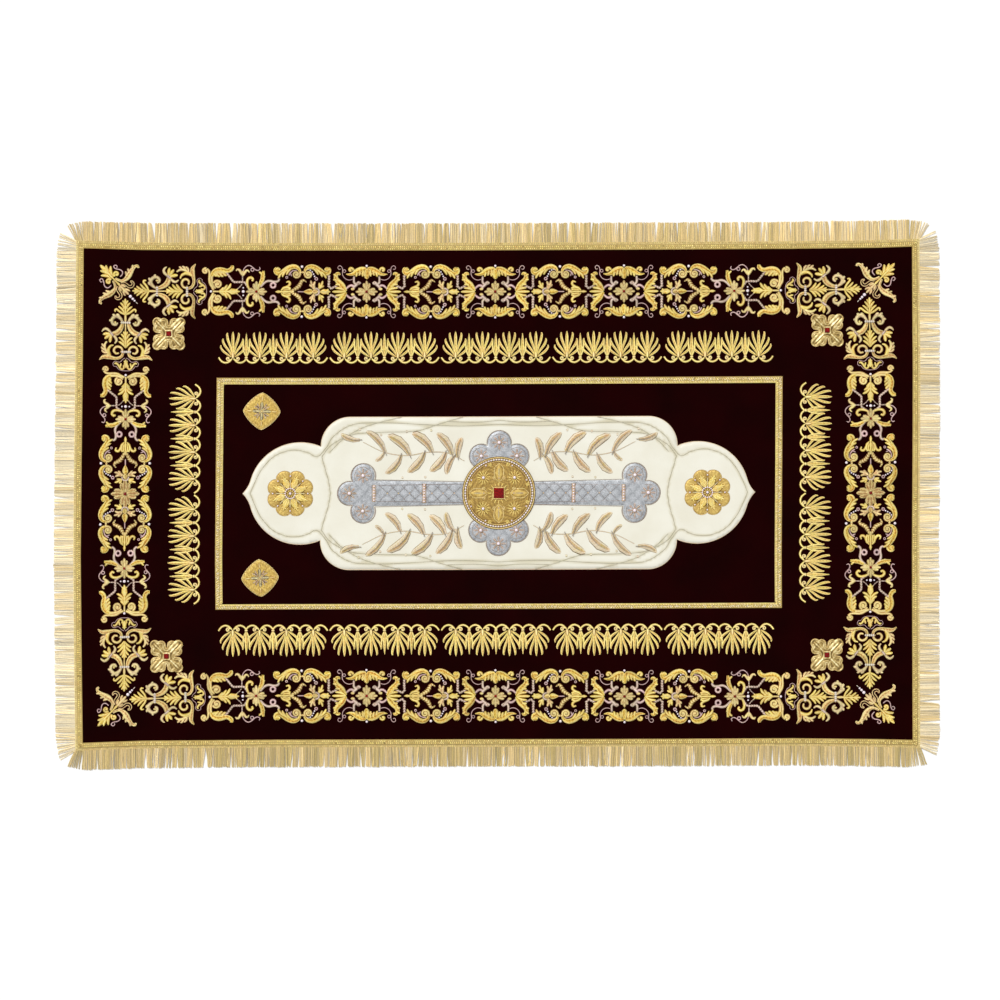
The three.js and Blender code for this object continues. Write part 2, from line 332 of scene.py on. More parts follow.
floor_material, tree, output = new_material("pale_floor")
matte = add_node(tree, "ShaderNodeBsdfDiffuse", {"Color": (0.9, 0.9, 0.9, 1)})
glow = add_node(tree, "ShaderNodeEmission", {"Strength": seen_directly(tree), "Color": (0.16, 0.16, 0.16, 1)})
fill(output, add_node(tree, "ShaderNodeAddShader", {0: matte.outputs[0], 1: glow.outputs[0]}).outputs[0])

floor = linked("floor", bpy.data.meshes.new("floor"))
corners = [(FLOOR_REACH * x, FLOOR_REACH * y, -FLOOR_DEPTH) for x, y in ((-1, -1), (1, -1), (1, 1), (-1, 1))]
floor.data.from_pydata(corners, [], [(0, 1, 2, 3)])
floor.data.materials.append(floor_material)
floor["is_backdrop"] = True
print("the camera stands", CAMERA_HEIGHT, "m up, with a lens of", round(camera.data.lens), "mm")

# %% [markdown]
# Laid thread is what nearly everything here is made of. A worker lays metal thread side by side over a
# padding and stitches it down, so each shape shows fine lines across it. Its bright crest and darker foot are
# painted into its colour: a painted highlight mixed from the Light colour and a painted shade from the Shadow
# colour. This node group gives that from three values stored on the mesh: how far along the shape a point is,
# how far across it, and the colour of its thread. A broad shape also gets a painted shade in a groove beside
# its middle, faint painted veins, and a painted highlight line inside its edge.

# %% The laid thread effect
FLOAT, COLOUR = "NodeSocketFloat", "NodeSocketColor"
RIB_PITCH = 4.6
VEIN_PITCH, VEIN_RISE = 5.6, 4.6
NARROW, BROAD = 3.3 * MM, 4.3 * MM
GROOVE_AT = 0.22

laid_tree, given, result = group(
    "laid_thread",
    [("Thread Width", FLOAT, 0.5), ("Slant", FLOAT, 0.5), ("Shadow", COLOUR, (0.3, 0.2, 0.14, 1.0)),
     ("Light", COLOUR, (1.0, 0.93, 0.7, 1.0)), ("Variation", FLOAT, 0.3)],
    [("Color", COLOUR), ("Height", FLOAT)])
tree = laid_tree
along, across, ridged, shade = [attribute(tree, name) for name in ("along", "across", "ridged", "shade")]
aside = calc("ABSOLUTE", across)
turns = (across * given["Slant"] + along) / given["Thread Width"]
own_place = add_node(tree, "ShaderNodeCombineXYZ", {"X": turns, "Y": shade}).outputs[0]
each_thread = noise(tree, own_place, 0.8, 1.0)
patches = noise(tree, object_place(tree), 210.0, 3.0, 0.65)
groove = between(calc("ABSOLUTE", across + GROOVE_AT), 0.46, 0.12, smooth=True)
broad = between(attribute(tree, "half_width"), NARROW, BROAD) * 0.8 * calc("GREATER_THAN", ridged, -0.5)
broad = calc("MAXIMUM", ridged, broad)
rib = calc("SINE", (aside * 2.6 + along) * (2 * math.pi / RIB_PITCH))
vein = calc("SINE", (aside * VEIN_RISE + along) * (2 * math.pi / VEIN_PITCH))
# for broad shapes: a painted highlight line inside the edge, over a middle painted a little darker
painted_rim_highlight = (between(aside, 0.5, 0.66) - between(aside, 0.76, 0.92)) * 0.6 - 0.22
# crest says how light each point is painted: painted highlight on the dome's top, painted shade at its foot,
# in the groove and along the veins, cross ribs of painted light and shade on a beaded face, plus tone that
# varies at random
crest = 1 - aside ** (broad * 2.6 + 1.8) + broad * painted_rim_highlight
crest = crest - groove * broad * 0.4 + vein * (broad * 0.09)
crest = crest + rib * calc("MINIMUM", ridged, 0.0) * 0.45
crest = crest + (each_thread * 0.5 + patches * 1.3 - 0.9) * given["Variation"]

warmer = noise(tree, object_place(tree), 95.0)
tint = attribute(tree, "tint", "Color")
peach = mix(tree, 1.0, tint, (1.03, 0.9, 0.8, 1.0), "MULTIPLY")
lemon = mix(tree, 1.0, tint, (0.98, 1.04, 0.72, 1.0), "MULTIPLY")
tint = mix(tree, between(warmer, 0.5, 0.3), tint, lemon)
tint = mix(tree, between(warmer, 0.5, 0.7), tint, peach)
# the painted shade colour, for the foot and the grooves
painted_shade = mix(tree, 1.0, tint, given["Shadow"], "MULTIPLY")
# bright is the painted highlight colour, for the crests
bright = mix(tree, 0.68, tint, given["Light"])
tone = mix(tree, between(crest, 0.02, 0.76, smooth=True), painted_shade, tint)
tone = mix(tree, between(crest, 0.6, 0.98), tone, bright)
fill(result["Color"], scaled(tree, tone, shade))
fill(result["Height"], calc("SINE", turns * (2 * math.pi)))


def grouped_material(name, group_tree, inputs, depth, **sockets):
    """A material whose colour and bump come from a node group."""
    def build(tree, shader):
        used = add_node(tree, "ShaderNodeGroup", inputs, node_tree=group_tree).outputs
        dress(shader, used["Color"], used["Height"], depth)

    return surface(name, build, **sockets)


def laid_thread_material(name, width, slant, shadow, light, variation, depth, **sockets):
    inputs = {"Thread Width": width, "Slant": slant, "Shadow": shadow, "Light": light, "Variation": variation}
    return grouped_material(name, laid_tree, inputs, depth, **sockets)


# each pair is a thread's painted shade colour and its painted highlight colour
GOLD = ((0.36, 0.16, 0.05, 1.0), dye(255, 243, 172))
SILVER = ((0.3, 0.14, 0.11, 1.0), dye(242, 220, 208))
SILK = ((0.55, 0.42, 0.3, 1.0), dye(252, 244, 224))
metal_work = laid_thread_material("gold_laid_thread", 0.45, 1.2, *GOLD, 0.6, 0.09,
                                  Metallic=0.35, Roughness=0.36)
silver_work = laid_thread_material("silver_laid_thread", 0.5, 0.8, *SILVER, 0.6, 0.08,
                                   Metallic=0.3, Roughness=0.38)
silk_work = laid_thread_material("silk_thread", 0.4, 0.6, *SILK, 0.4, 0.06, Roughness=0.45, Sheen_Weight=0.2)
print("materials for gold, silver and silk thread are ready")

# %% [markdown]
# Every worked shape is a stitch: a path with a width at each point. Geometry Nodes turn such
# wires into raised shapes, because all of them follow the same rule. The wires carry their half
# width, tint and shade, the tree sweeps a low dome along them, and broad shapes get a dome with
# lengthwise ridges, as a veined leaf has.

# %% The tree that raises a stitch
INT, MATERIAL, GEOMETRY = "NodeSocketInt", "NodeSocketMaterial", "NodeSocketGeometry"


def geometry_tree(name, inputs):
    """A geometry node tree, and the Values of its named inputs."""
    tree = bpy.data.node_groups.new(name, "GeometryNodeTree")
    for label, kind, value in [("Geometry", GEOMETRY, None), *inputs, ("Material", MATERIAL, None)]:
        socket = tree.interface.new_socket(label, in_out="INPUT", socket_type=kind)
        if value is not None:
            socket.default_value = value
    tree.interface.new_socket("Geometry", in_out="OUTPUT", socket_type=GEOMETRY)
    return tree, {socket.name: Value(socket) for socket in tree.nodes.new("NodeGroupInput").outputs}


def named(tree, name, kind="FLOAT"):
    node = add_node(tree, "GeometryNodeInputNamedAttribute", {"Name": name}, data_type=kind)
    return Value(node.outputs["Attribute"])


def store(tree, geometry, name, value):
    inputs = {"Geometry": geometry, "Name": name, "Value": value}
    return add_node(tree, "GeometryNodeStoreNamedAttribute", inputs).outputs[0]


def position(tree):
    return tree.nodes.new("GeometryNodeInputPosition").outputs[0]


def place_along(tree):
    """A point's X."""
    return Value(add_node(tree, "ShaderNodeSeparateXYZ", {0: position(tree)}).outputs["X"])


def as_curve(tree, mesh):
    return add_node(tree, "GeometryNodeMeshToCurve", {"Mesh": mesh}).outputs[0]


def dome_profile(tree, count, height, ridge_depth):
    """A closed section from -1 to 1: a low dome, with ridges along it where ridge_depth isn't 0."""
    line = add_node(tree, "GeometryNodeMeshLine", {
        "Count": count, "Start Location": (-1, 0, 0), "Offset": (1, 0, 0)}, mode="END_POINTS").outputs[0]
    side = place_along(tree)
    wave = calc("ABSOLUTE", calc("SINE", side * (1.5 * math.pi)))
    round_part = calc("SQRT", calc("MAXIMUM", 1 - side * side, 0.0))
    rise = round_part * (1 - wave * ridge_depth) * (height * -1.0)
    bent = add_node(tree, "ShaderNodeCombineXYZ", {"X": side, "Y": rise}).outputs[0]
    domed = add_node(tree, "GeometryNodeSetPosition", {"Geometry": line, "Position": bent}).outputs[0]
    curve = as_curve(tree, store(tree, domed, "across", side))
    return add_node(tree, "GeometryNodeSetSplineCyclic", {"Geometry": curve, "Cyclic": True}).outputs[0]


def swept(tree, wires, profile):
    """Each wire as a raised shape, level across, with the distance along it stored in mm."""
    curve = as_curve(tree, wires)
    level = add_node(tree, "GeometryNodeSetCurveNormal", {"Curve": curve}, mode="Z_UP").outputs[0]
    length = Value(tree.nodes.new("GeometryNodeSplineParameter").outputs["Length"])
    inputs = {"Curve": store(tree, level, "along", length / MM), "Profile Curve": profile,
              "Scale": named(tree, "half_width"), "Fill Caps": True}
    return add_node(tree, "GeometryNodeCurveToMesh", inputs).outputs[0]


def finish_tree(tree, geometry, material):
    smooth = add_node(tree, "GeometryNodeSetShadeSmooth", {"Geometry": geometry}).outputs[0]
    real = add_node(tree, "GeometryNodeRealizeInstances", {"Geometry": smooth}).outputs[0]
    painted = add_node(tree, "GeometryNodeSetMaterial", {"Geometry": real, "Material": material}).outputs[0]
    fill(tree.nodes.new("NodeGroupOutput").inputs[0], painted)


stitch_tree, given = geometry_tree("raised_stitch", [
    ("Dome Height", FLOAT, 0.42), ("Ridge Depth", FLOAT, 0.3),
    ("Plain Points", INT, 5), ("Ridged Points", INT, 7)])
parted = add_node(stitch_tree, "GeometryNodeSeparateGeometry", {
    "Geometry": given["Geometry"],
    "Selection": calc("GREATER_THAN", named(stitch_tree, "ridged"), 0.5)}, domain="POINT").outputs
plain_dome = dome_profile(stitch_tree, given["Plain Points"], given["Dome Height"], 0.0)
ridged_dome = dome_profile(stitch_tree, given["Ridged Points"], given["Dome Height"], given["Ridge Depth"])
joined = stitch_tree.nodes.new("GeometryNodeJoinGeometry")
fill(joined.inputs[0], swept(stitch_tree, parted["Selection"], ridged_dome))
fill(joined.inputs[0], swept(stitch_tree, parted["Inverted"], plain_dome))
finish_tree(stitch_tree, joined.outputs[0], given["Material"])
print("the raised stitch tree has", len(stitch_tree.nodes), "nodes")

# %% [markdown]
# The same few lines turn any table of points into an object, run a tree on it and keep the result
# as a plain mesh. Values that belong to a point, such as its width, are stored as attributes.

# %% From wires to a finished piece
triangle_counts = {}


def wire_object(name, positions, edges, values):
    """An object of loose points or wires that carries the values."""
    mesh = bpy.data.meshes.new(name)
    mesh.from_pydata(positions, edges, [])
    for label, column in values.items():
        column = np.asarray(column, np.float32)
        kind, field = ("FLOAT", "value") if column.ndim == 1 else ("FLOAT_VECTOR", "vector")
        mesh.attributes.new(label, kind, "POINT").data.foreach_set(field, column.ravel())
    return linked(name, mesh)


def count_triangles(made):
    triangle_counts[made.name] = sum(len(face.vertices) - 2 for face in made.data.polygons)
    print(made.name, triangle_counts[made.name], "triangles")
    return made


def grown(source, tree, **inputs):
    """The mesh that a tree makes from an object, in a new object of the same name."""
    modifier = source.modifiers.new("tree", "NODES")
    modifier.node_group = tree
    for item in tree.interface.items_tree:
        label = item.name.replace(" ", "_")
        if item.in_out == "INPUT" and label in inputs:
            modifier[item.identifier] = inputs[label]
    source.update_tag()
    mesh = bpy.data.meshes.new_from_object(source.evaluated_get(bpy.context.evaluated_depsgraph_get()))
    mesh.name = name = source.name
    bpy.data.objects.remove(source)
    return count_triangles(linked(name, mesh))


def sewn_on(made, slot, *replaced):
    """Ties a finished piece to the cloth's one body."""
    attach(made, "root")
    if replaced:
        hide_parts(*replaced)
    return made


def solid(name, positions, faces, material, smooth=True, **values):
    """A mesh object from points in metres and faces, with values stored on its points."""
    mesh = bpy.data.meshes.new(name)
    mesh.from_pydata(positions, [], faces)
    mesh.materials.append(material)
    mesh.polygons.foreach_set("use_smooth", [smooth] * len(mesh.polygons))
    for label, column in values.items():
        mesh.attributes.new(label, "FLOAT", "POINT").data.foreach_set("value", column.astype(np.float32))
    return count_triangles(linked(name, mesh))


print("pieces grow from wires with", len(stitch_tree.interface.items_tree), "named sockets in the first tree")

# %% [markdown]
# The velvet is one sheet with a lining, so it is a closed mesh of two layers with a rim. A pile
# drinks the light that falls straight on it and glows a little at a slant, which is what sheen
# does. Brushed patches, a fine nap and a faint red glint keep the dark cloth from looking flat.

# %% Velvet ground
EDGE_OF_CLOTH = 9.0
VELVET_COLUMNS = 190
VELVET_ROWS = 112
LINING_HEIGHT = 0.2


def velvet_mesh():
    """Points and faces of the sheet: its top, its lining and the rim between them."""
    reach_x, reach_y = VELVET_LENGTH / 2 + EDGE_OF_CLOTH, VELVET_WIDTH / 2 + EDGE_OF_CLOTH
    flat = np.array([[a, b] for b in np.linspace(-reach_y, reach_y, VELVET_ROWS)
                     for a in np.linspace(-reach_x, reach_x, VELVET_COLUMNS)])
    top = in_place(flat, np.zeros(len(flat)))
    lining = top.copy()
    lining[:, 2] = LINING_HEIGHT * MM
    count = len(flat)
    faces = []
    for row in range(VELVET_ROWS - 1):
        for column in range(VELVET_COLUMNS - 1):
            a = row * VELVET_COLUMNS + column
            b = a + VELVET_COLUMNS
            faces.append((a, a + 1, b + 1, b))
            faces.append((count + b, count + b + 1, count + a + 1, count + a))
    numbers = np.arange(count).reshape(VELVET_ROWS, VELVET_COLUMNS)
    rim = [*numbers[0], *numbers[1:, -1], *numbers[-1, -2::-1], *numbers[-2:0:-1, 0]]
    for here, after in zip(rim, rim[1:] + rim[:1]):
        faces.append((count + here, count + after, after, here))
    return np.vstack([top, lining]), faces


def velvet_finish(tree, shader):
    place = object_place(tree)
    nap = noise(tree, place, 1500.0, 3.0, 0.7)
    brushed = noise(tree, place, 9.0, 3.0, 0.55)
    shade = between(nap * 0.5 + brushed * 0.5, 0.32, 0.68)
    fill(shader.inputs["Roughness"], between(brushed, 0.0, 1.0) * 0.1 + 0.85)
    dress(shader, mix(tree, shade, dye(15, 1, 1), dye(32, 1, 2)), nap, 0.25, 0.6)


velvet_material = surface("burgundy_velvet", velvet_finish, Sheen_Weight=0.25, Sheen_Roughness=0.35,
                          Sheen_Tint=dye(110, 6, 8), Specular_IOR_Level=0.02)
velvet = sewn_on(solid("velvet_ground", *velvet_mesh(), velvet_material), "velvet", "velvet_cloth")

# %% [markdown]
# The four edges share one frame: how far along an edge a point is, and how far out from the
# velvet that shows. Braid is a woven strip, so it is a section swept along its edge. Its ends are
# mitred by letting each line of the section run to its own distance from the corner.

# %% Edges and woven strips
# an edge is its quarter turns, half the length of the velvet along it, and its distance out
LONG_EDGE, SHORT_EDGE = VELVET_LENGTH / 2, VELVET_WIDTH / 2
EDGES = {
    "far": (0, LONG_EDGE, SHORT_EDGE),
    "right": (-1, SHORT_EDGE, LONG_EDGE),
    "near": (2, LONG_EDGE, SHORT_EDGE),
    "left": (1, SHORT_EDGE, LONG_EDGE),
}
STRIP_STEP = 9.0


def on_edge(turns, along, out):
    """Flat points from their place along an edge and their distance out from the middle."""
    x, y = ((along, out), (-out, along), (-along, -out), (out, -along))[turns % 4]
    return np.column_stack([x, y])


def strip(name, edge, section, material, middle=(0, 0)):
    """A mitred woven strip. section has rows of distance out and height above the velvet."""
    turns, half, reach = edge
    count = int(2 * half / STRIP_STEP) + 2
    share = np.linspace(-1, 1, count)
    rings = []
    for out, above in section:
        flat = on_edge(turns, share * (half + out), np.full(count, reach + out)) + np.array(middle)
        rings.append(in_place(flat, np.full(count, above)))
    positions = np.stack(rings, axis=1).reshape(-1, 3)
    width = len(section)
    faces = []
    for ring in range(0, (count - 1) * width, width):
        for line in range(width):
            a, b = ring + line, ring + (line + 1) % width
            faces.append((a, a + width, b + width, b))
    faces += [tuple(range(width)), tuple(reversed(range((count - 1) * width, count * width)))]
    return solid(name, positions, faces, material, False, shade=np.ones(len(positions)))


def joined_pieces(name, parts):
    """Several mesh objects as one."""
    bpy.ops.object.select_all(action="DESELECT")
    for part in parts:
        part.select_set(True)
        triangle_counts.pop(part.name)
    bpy.context.view_layer.objects.active = parts[0]
    bpy.ops.object.join()
    parts[0].name = parts[0].data.name = name
    return count_triangles(parts[0])


print("an edge is", 2 * LONG_EDGE, "or", 2 * SHORT_EDGE, "mm long")

# %% [markdown]
# The fringe is a woven head with bullion strands hanging from it. Each strand is the same small
# tube, so Geometry Nodes place it on a root point and stretch it to its length. The tubes lie in
# clumps that part into gaps, and fan out round a corner, so each root carries its own direction.

# %% Strands of the fringe
BRAID_WIDTH = 9.2
HEAD_WIDTH = 5.0
STRAND_LENGTH = 35.3
STRAND_PITCH = 1.5
STRAND_DROP = 0.7
ROOT_HEIGHT = -0.8
ROOT_OVERLAP = 0.6
FAN_REACH = 24.0
FAN_LEAN = 0.5
# per side, the strands are painted a little lighter or darker, and on two sides paler: a painted sheen where
# the threads catch the light differently
FRINGE_PAINTED_SHEEN = {"far": 1.04, "near": 0.935, "left": 1.06, "right": 1.03}
FRINGE_PAINTED_PALENESS = {"far": 0.0, "near": -0.16, "left": 0.8, "right": 0.66}
random = np.random.default_rng(7)

strand_tree, given = geometry_tree("fringe_strands", [
    ("Strand Radius", FLOAT, 0.82 * MM), ("Drop", FLOAT, STRAND_DROP * MM), ("Sway", FLOAT, 1.9 * MM),
    ("Steps", INT, 6), ("Sides", INT, 4)])
tree = strand_tree
line = add_node(tree, "GeometryNodeMeshLine", {
    "Count": given["Steps"], "Offset": (1, 0, 0)}, mode="END_POINTS")
share = place_along(tree)
reached = store(tree, line.outputs[0], "reached", share)
drop = add_node(tree, "ShaderNodeCombineXYZ", {"Z": share ** 1.6 * given["Drop"] * -1.0}).outputs[0]
sagged = add_node(tree, "GeometryNodeSetPosition", {"Geometry": reached, "Offset": drop}).outputs[0]
section = add_node(tree, "GeometryNodeCurvePrimitiveCircle", {
    "Resolution": given["Sides"], "Radius": given["Strand Radius"]}).outputs[0]
tube = add_node(tree, "GeometryNodeCurveToMesh", {
    "Curve": as_curve(tree, sagged), "Profile Curve": section, "Fill Caps": True}).outputs[0]
heading = named(tree, "heading", "FLOAT_VECTOR")
facing = add_node(tree, "FunctionNodeAlignRotationToVector", {"Vector": heading}, axis="X").outputs[0]
size = add_node(tree, "ShaderNodeCombineXYZ", {"X": named(tree, "strand_length"), "Y": 1, "Z": 1}).outputs[0]
placed_tubes = add_node(tree, "GeometryNodeInstanceOnPoints", {
    "Points": given["Geometry"], "Instance": tube, "Rotation": facing, "Scale": size}).outputs[0]
real = add_node(tree, "GeometryNodeRealizeInstances", {"Geometry": placed_tubes}).outputs[0]
field = add_node(tree, "ShaderNodeTexNoise", {"Vector": position(tree), "Scale": 75.0, "Detail": 2.0})
centred = add_node(tree, "ShaderNodeVectorMath", {
    0: field.outputs["Color"], 1: (0.5, 0.5, 0.5)}, operation="SUBTRACT").outputs[0]
level = add_node(tree, "ShaderNodeVectorMath", {
    0: centred, 1: (1, 1, 0.12)}, operation="MULTIPLY").outputs[0]
sway = scaled(tree, level, given["Sway"] * named(tree, "reached") * 2.0)
swayed = add_node(tree, "GeometryNodeSetPosition", {"Geometry": real, "Offset": sway}).outputs[0]
finish_tree(tree, swayed, given["Material"])


def clumps_along(places):
    """For each strand: how far its tip moves aside, towards the middle of its own clump, and how
    light and how warm that clump is."""
    leans, light, warmth = np.zeros(len(places)), np.ones(len(places)), np.zeros(len(places))
    start = places[0]
    while start < places[-1] + 1:
        width = random.uniform(3, 12)
        opening = random.choice([0.0, 0.5, 1.4, 3.0, 5.0], p=[0.34, 0.28, 0.2, 0.12, 0.06])
        inside = (places >= start) & (places < start + width)
        off = (places[inside] - start - width / 2) / (width / 2)
        leans[inside] = -off * opening / 2 + random.normal(0, 1.1)
        light[inside] = random.normal(1.0, 0.045)
        warmth[inside] = random.normal(0.5, 0.22)
        start += width
    return leans, light, warmth


def fringe_roots(side, turns, half, reach):
    """Root points along one edge, with each strand's heading, length and shade."""
    end = half + BRAID_WIDTH + HEAD_WIDTH
    places = np.arange(-end, end, STRAND_PITCH)
    places = places + random.uniform(-0.3, 0.3, len(places))
    leans, light, warmth = clumps_along(places)
    leans = leans / STRAND_LENGTH + random.normal(0, 0.012, len(places))
    near_end = np.clip((np.abs(places) - end + FAN_REACH) / FAN_REACH, 0, 1)
    leans += np.sign(places) * FAN_LEAN * near_end ** 1.7
    leans += random.normal(0, 0.06 * near_end + 0.001)
    stray = random.uniform(0, 1, len(places)) < 0.04
    leans[stray] += random.normal(0, 0.07, stray.sum())
    out = np.full(len(places), reach + BRAID_WIDTH + HEAD_WIDTH - ROOT_OVERLAP)
    lengths = STRAND_LENGTH + ROOT_OVERLAP - np.abs(random.normal(0, 0.9, len(places))) - 3.0 * near_end
    tips = on_edge(turns, places + leans * lengths, out + lengths)
    roots = on_edge(turns, places, out)
    heading = np.column_stack([lie(tips) - lie(roots), np.zeros(len(places))])
    heading /= np.linalg.norm(heading, axis=1)[:, None]
    layer = np.tile([0.0, 0.35], len(places))[:len(places)]
    above = ROOT_HEIGHT + layer + random.uniform(-0.12, 0.12, len(places))
    # shade carries the side's painted sheen on top of the random tone of each clump and strand
    shade = FRINGE_PAINTED_SHEEN[side] * light * random.normal(1.0, 0.13, len(places)) + 0.3 * stray
    warmth = warmth + random.normal(0, 0.2, len(places)) + FRINGE_PAINTED_PALENESS[side]
    values = {"heading": heading, "strand_length": lengths * MM, "shade": shade, "warmth": warmth}
    return in_place(roots, above), [], values


def fringe_finish(tree, shader):
    streak = noise(tree, object_place(tree), 420.0, 2.0, 0.6)
    patch = noise(tree, object_place(tree), 34.0)
    warm = attribute(tree, "warmth") + patch * 0.2
    tone = mix(tree, between(warm, 0.1, 0.6), dye(214, 192, 128), dye(233, 208, 150))
    tone = mix(tree, between(warm, 0.7, 1.5), tone, dye(245, 232, 200))
    dress(shader, scaled(tree, tone, attribute(tree, "shade") * (streak * 0.5 + 0.75)), streak, 0.3)


fringe_material = surface("gold_bullion_fringe", fringe_finish,
                          Metallic=0.15, Roughness=0.5, Sheen_Weight=0.15)
print("the strand tree has", len(strand_tree.nodes), "nodes")

# %% [markdown]
# Braid shows its plait. A strip alone would look like tape, so short slanted stitches are laid on
# it in two mirrored rows, and cords run along both of its edges. A wire gives each stitch, and
# the tree that raises stitches makes them all.

# %% Stitches as rows of numbers
TINTS = {
    "gold": (255, 215, 91), "deep gold": (220, 163, 61), "pale gold": (248, 208, 130),
    "khaki": (228, 190, 110), "cream gold": (254, 221, 153), "pink gold": (238, 192, 140),
    "bright gold": (246, 215, 113), "orange gold": (214, 155, 78), "olive gold": (168, 128, 40),
    "straw": (240, 208, 146), "horn": (206, 161, 89), "petal tan": (196, 156, 96),
    "ivory": (228, 198, 156), "tan": (216, 175, 106), "silver": (190, 164, 140),
    "lilac": (206, 160, 166), "bright silver": (240, 236, 220), "grey": (140, 130, 112),
    "line": (168, 164, 130), "dark line": (52, 52, 58), "skin": (222, 192, 142),
    "light skin": (238, 222, 190), "brown": (98, 60, 28),
}


def stitch(tint, rows, lift=0.0, ridged=False):
    """One stitch: rows of x, y and width, kept with half the width. ridged is True for a ribbed
    leaf, and -1 for a beaded face."""
    path = np.array(rows, float)
    path[:, 2] /= 2
    return {"tint": tint, "path": path, "ridged": ridged, "lift": lift, "shade": 1.0}


def smooth_rows(rows, step=2.3):
    """A few rows turned into a smooth line of rows about a step apart."""
    rows = np.array(rows, float)
    ends = [2 * rows[0] - rows[1], *rows, 2 * rows[-1] - rows[-2]]
    made = []
    for before, here, after, last in zip(ends, ends[1:], ends[2:], ends[3:]):
        count = max(2, int(round(np.hypot(*(after - here)[:2]) / step)))
        for share in np.arange(count) / count:
            square, cube = share ** 2, share ** 3
            made.append(0.5 * (2 * here + (after - before) * share
                               + (2 * before - 5 * here + 4 * after - last) * square
                               + (3 * here - before - 3 * after + last) * cube))
    made = np.array([*made, rows[-1]])
    made[:, 2] = np.maximum(made[:, 2], 0.5)
    return made


def flow(tint, rows, lift=0.0, ridged=False, step=2.3):
    """A stitch along a smooth line through a few rows."""
    return [stitch(tint, smooth_rows(rows, step), lift, ridged)]


def wires_of(stitches, base):
    """Positions, edges and values for a list of stitches laid on the velvet."""
    counts = [len(one["path"]) for one in stitches]
    path = np.vstack([one["path"] for one in stitches])
    lift, ridged, shade = [np.repeat([float(one[label]) for one in stitches], counts)
                           for label in ("lift", "ridged", "shade")]
    tints = np.repeat([dye(*TINTS[one["tint"]])[:3] for one in stitches], counts, axis=0)
    steps = np.delete(np.arange(len(path)), np.cumsum(counts) - 1)
    values = {"half_width": path[:, 2] * MM, "tint": tints, "ridged": ridged, "shade": shade}
    return in_place(path[:, :2], base + lift), np.column_stack([steps, steps + 1]), values


def worked(name, stitches, material, base=-0.15, **settings):
    """The raised piece that a list of stitches makes."""
    return grown(wire_object(name, *wires_of(stitches, base)), stitch_tree, Material=material, **settings)


def shaded(stitches, spread=0.1, tints=(), middle=1.0):
    """The same stitches, each a little lighter or darker, and each in one of the tints if any are given."""
    for one in stitches:
        one["shade"] = float(random.normal(middle, spread))
        if tints:
            one["tint"] = tints[random.integers(len(tints))]
    return stitches


print("there are", len(TINTS), "tints of thread")

# %% [markdown]
# The edge braid covers the cloth's edge and the fringe's head. Its section is a flat band with a
# raised cord at each side, and its plait is a row of slanted stitches each way.

# %% Edge braid and fringe
PLAIT_PITCH = 3.5
CORD_STEP = 6.0
BRAID_TINTS = ("khaki", "bright gold", "gold", "pale gold", "deep gold")
HEAD_END = BRAID_WIDTH + HEAD_WIDTH
HEAD_START = BRAID_WIDTH - 1.7
# distance out and height of the corners of each section
BRAID_SECTION = [(0.2, 0.3), (0.2, 1.2), (BRAID_WIDTH / 2, 1.35), (BRAID_WIDTH, 1.2), (BRAID_WIDTH, 0.3)]
HEAD_SECTION = [(HEAD_START, -2.4), (HEAD_START, -0.45), (HEAD_END, -0.45), (HEAD_END, -2.4)]


def braid_finish(tree, shader):
    weave = noise(tree, object_place(tree), 900.0, 2.0, 0.6)
    patch = noise(tree, object_place(tree), 22.0, 3.0, 0.6)
    tone = mix(tree, between(patch, 0.3, 0.7), dye(188, 158, 82), dye(214, 186, 108))
    dress(shader, mix(tree, weave * 0.6, tone, dye(96, 74, 34)), weave, 0.25)


braid_material = surface("woven_gold_braid", braid_finish, Metallic=0.3, Roughness=0.45)


def cord_along(edge, out, tint, width, lift):
    """A cord that runs the whole way along an edge."""
    turns, half, reach = edge
    places = np.linspace(-(half + out), half + out, int(2 * half / CORD_STEP))
    count = len(places)
    flat = on_edge(turns, places, np.full(count, reach + out))
    return [stitch(tint, np.column_stack([flat, np.full(count, width)]), lift)]


def plait(edge, inner, outer, tint, width, pitch, lean, lift):
    """A row of slanted stitches between two distances out."""
    turns, half, reach = edge
    made = []
    for place in np.arange(-half - inner, half + inner, pitch):
        ends = on_edge(turns, np.array([place, place + lean]), np.array([reach + inner, reach + outer]))
        rows = [[*ends[0], 0.5 * width], [*ends.mean(axis=0), width], [*ends[1], 0.5 * width]]
        made.append(stitch(tint, rows, lift))
    return made


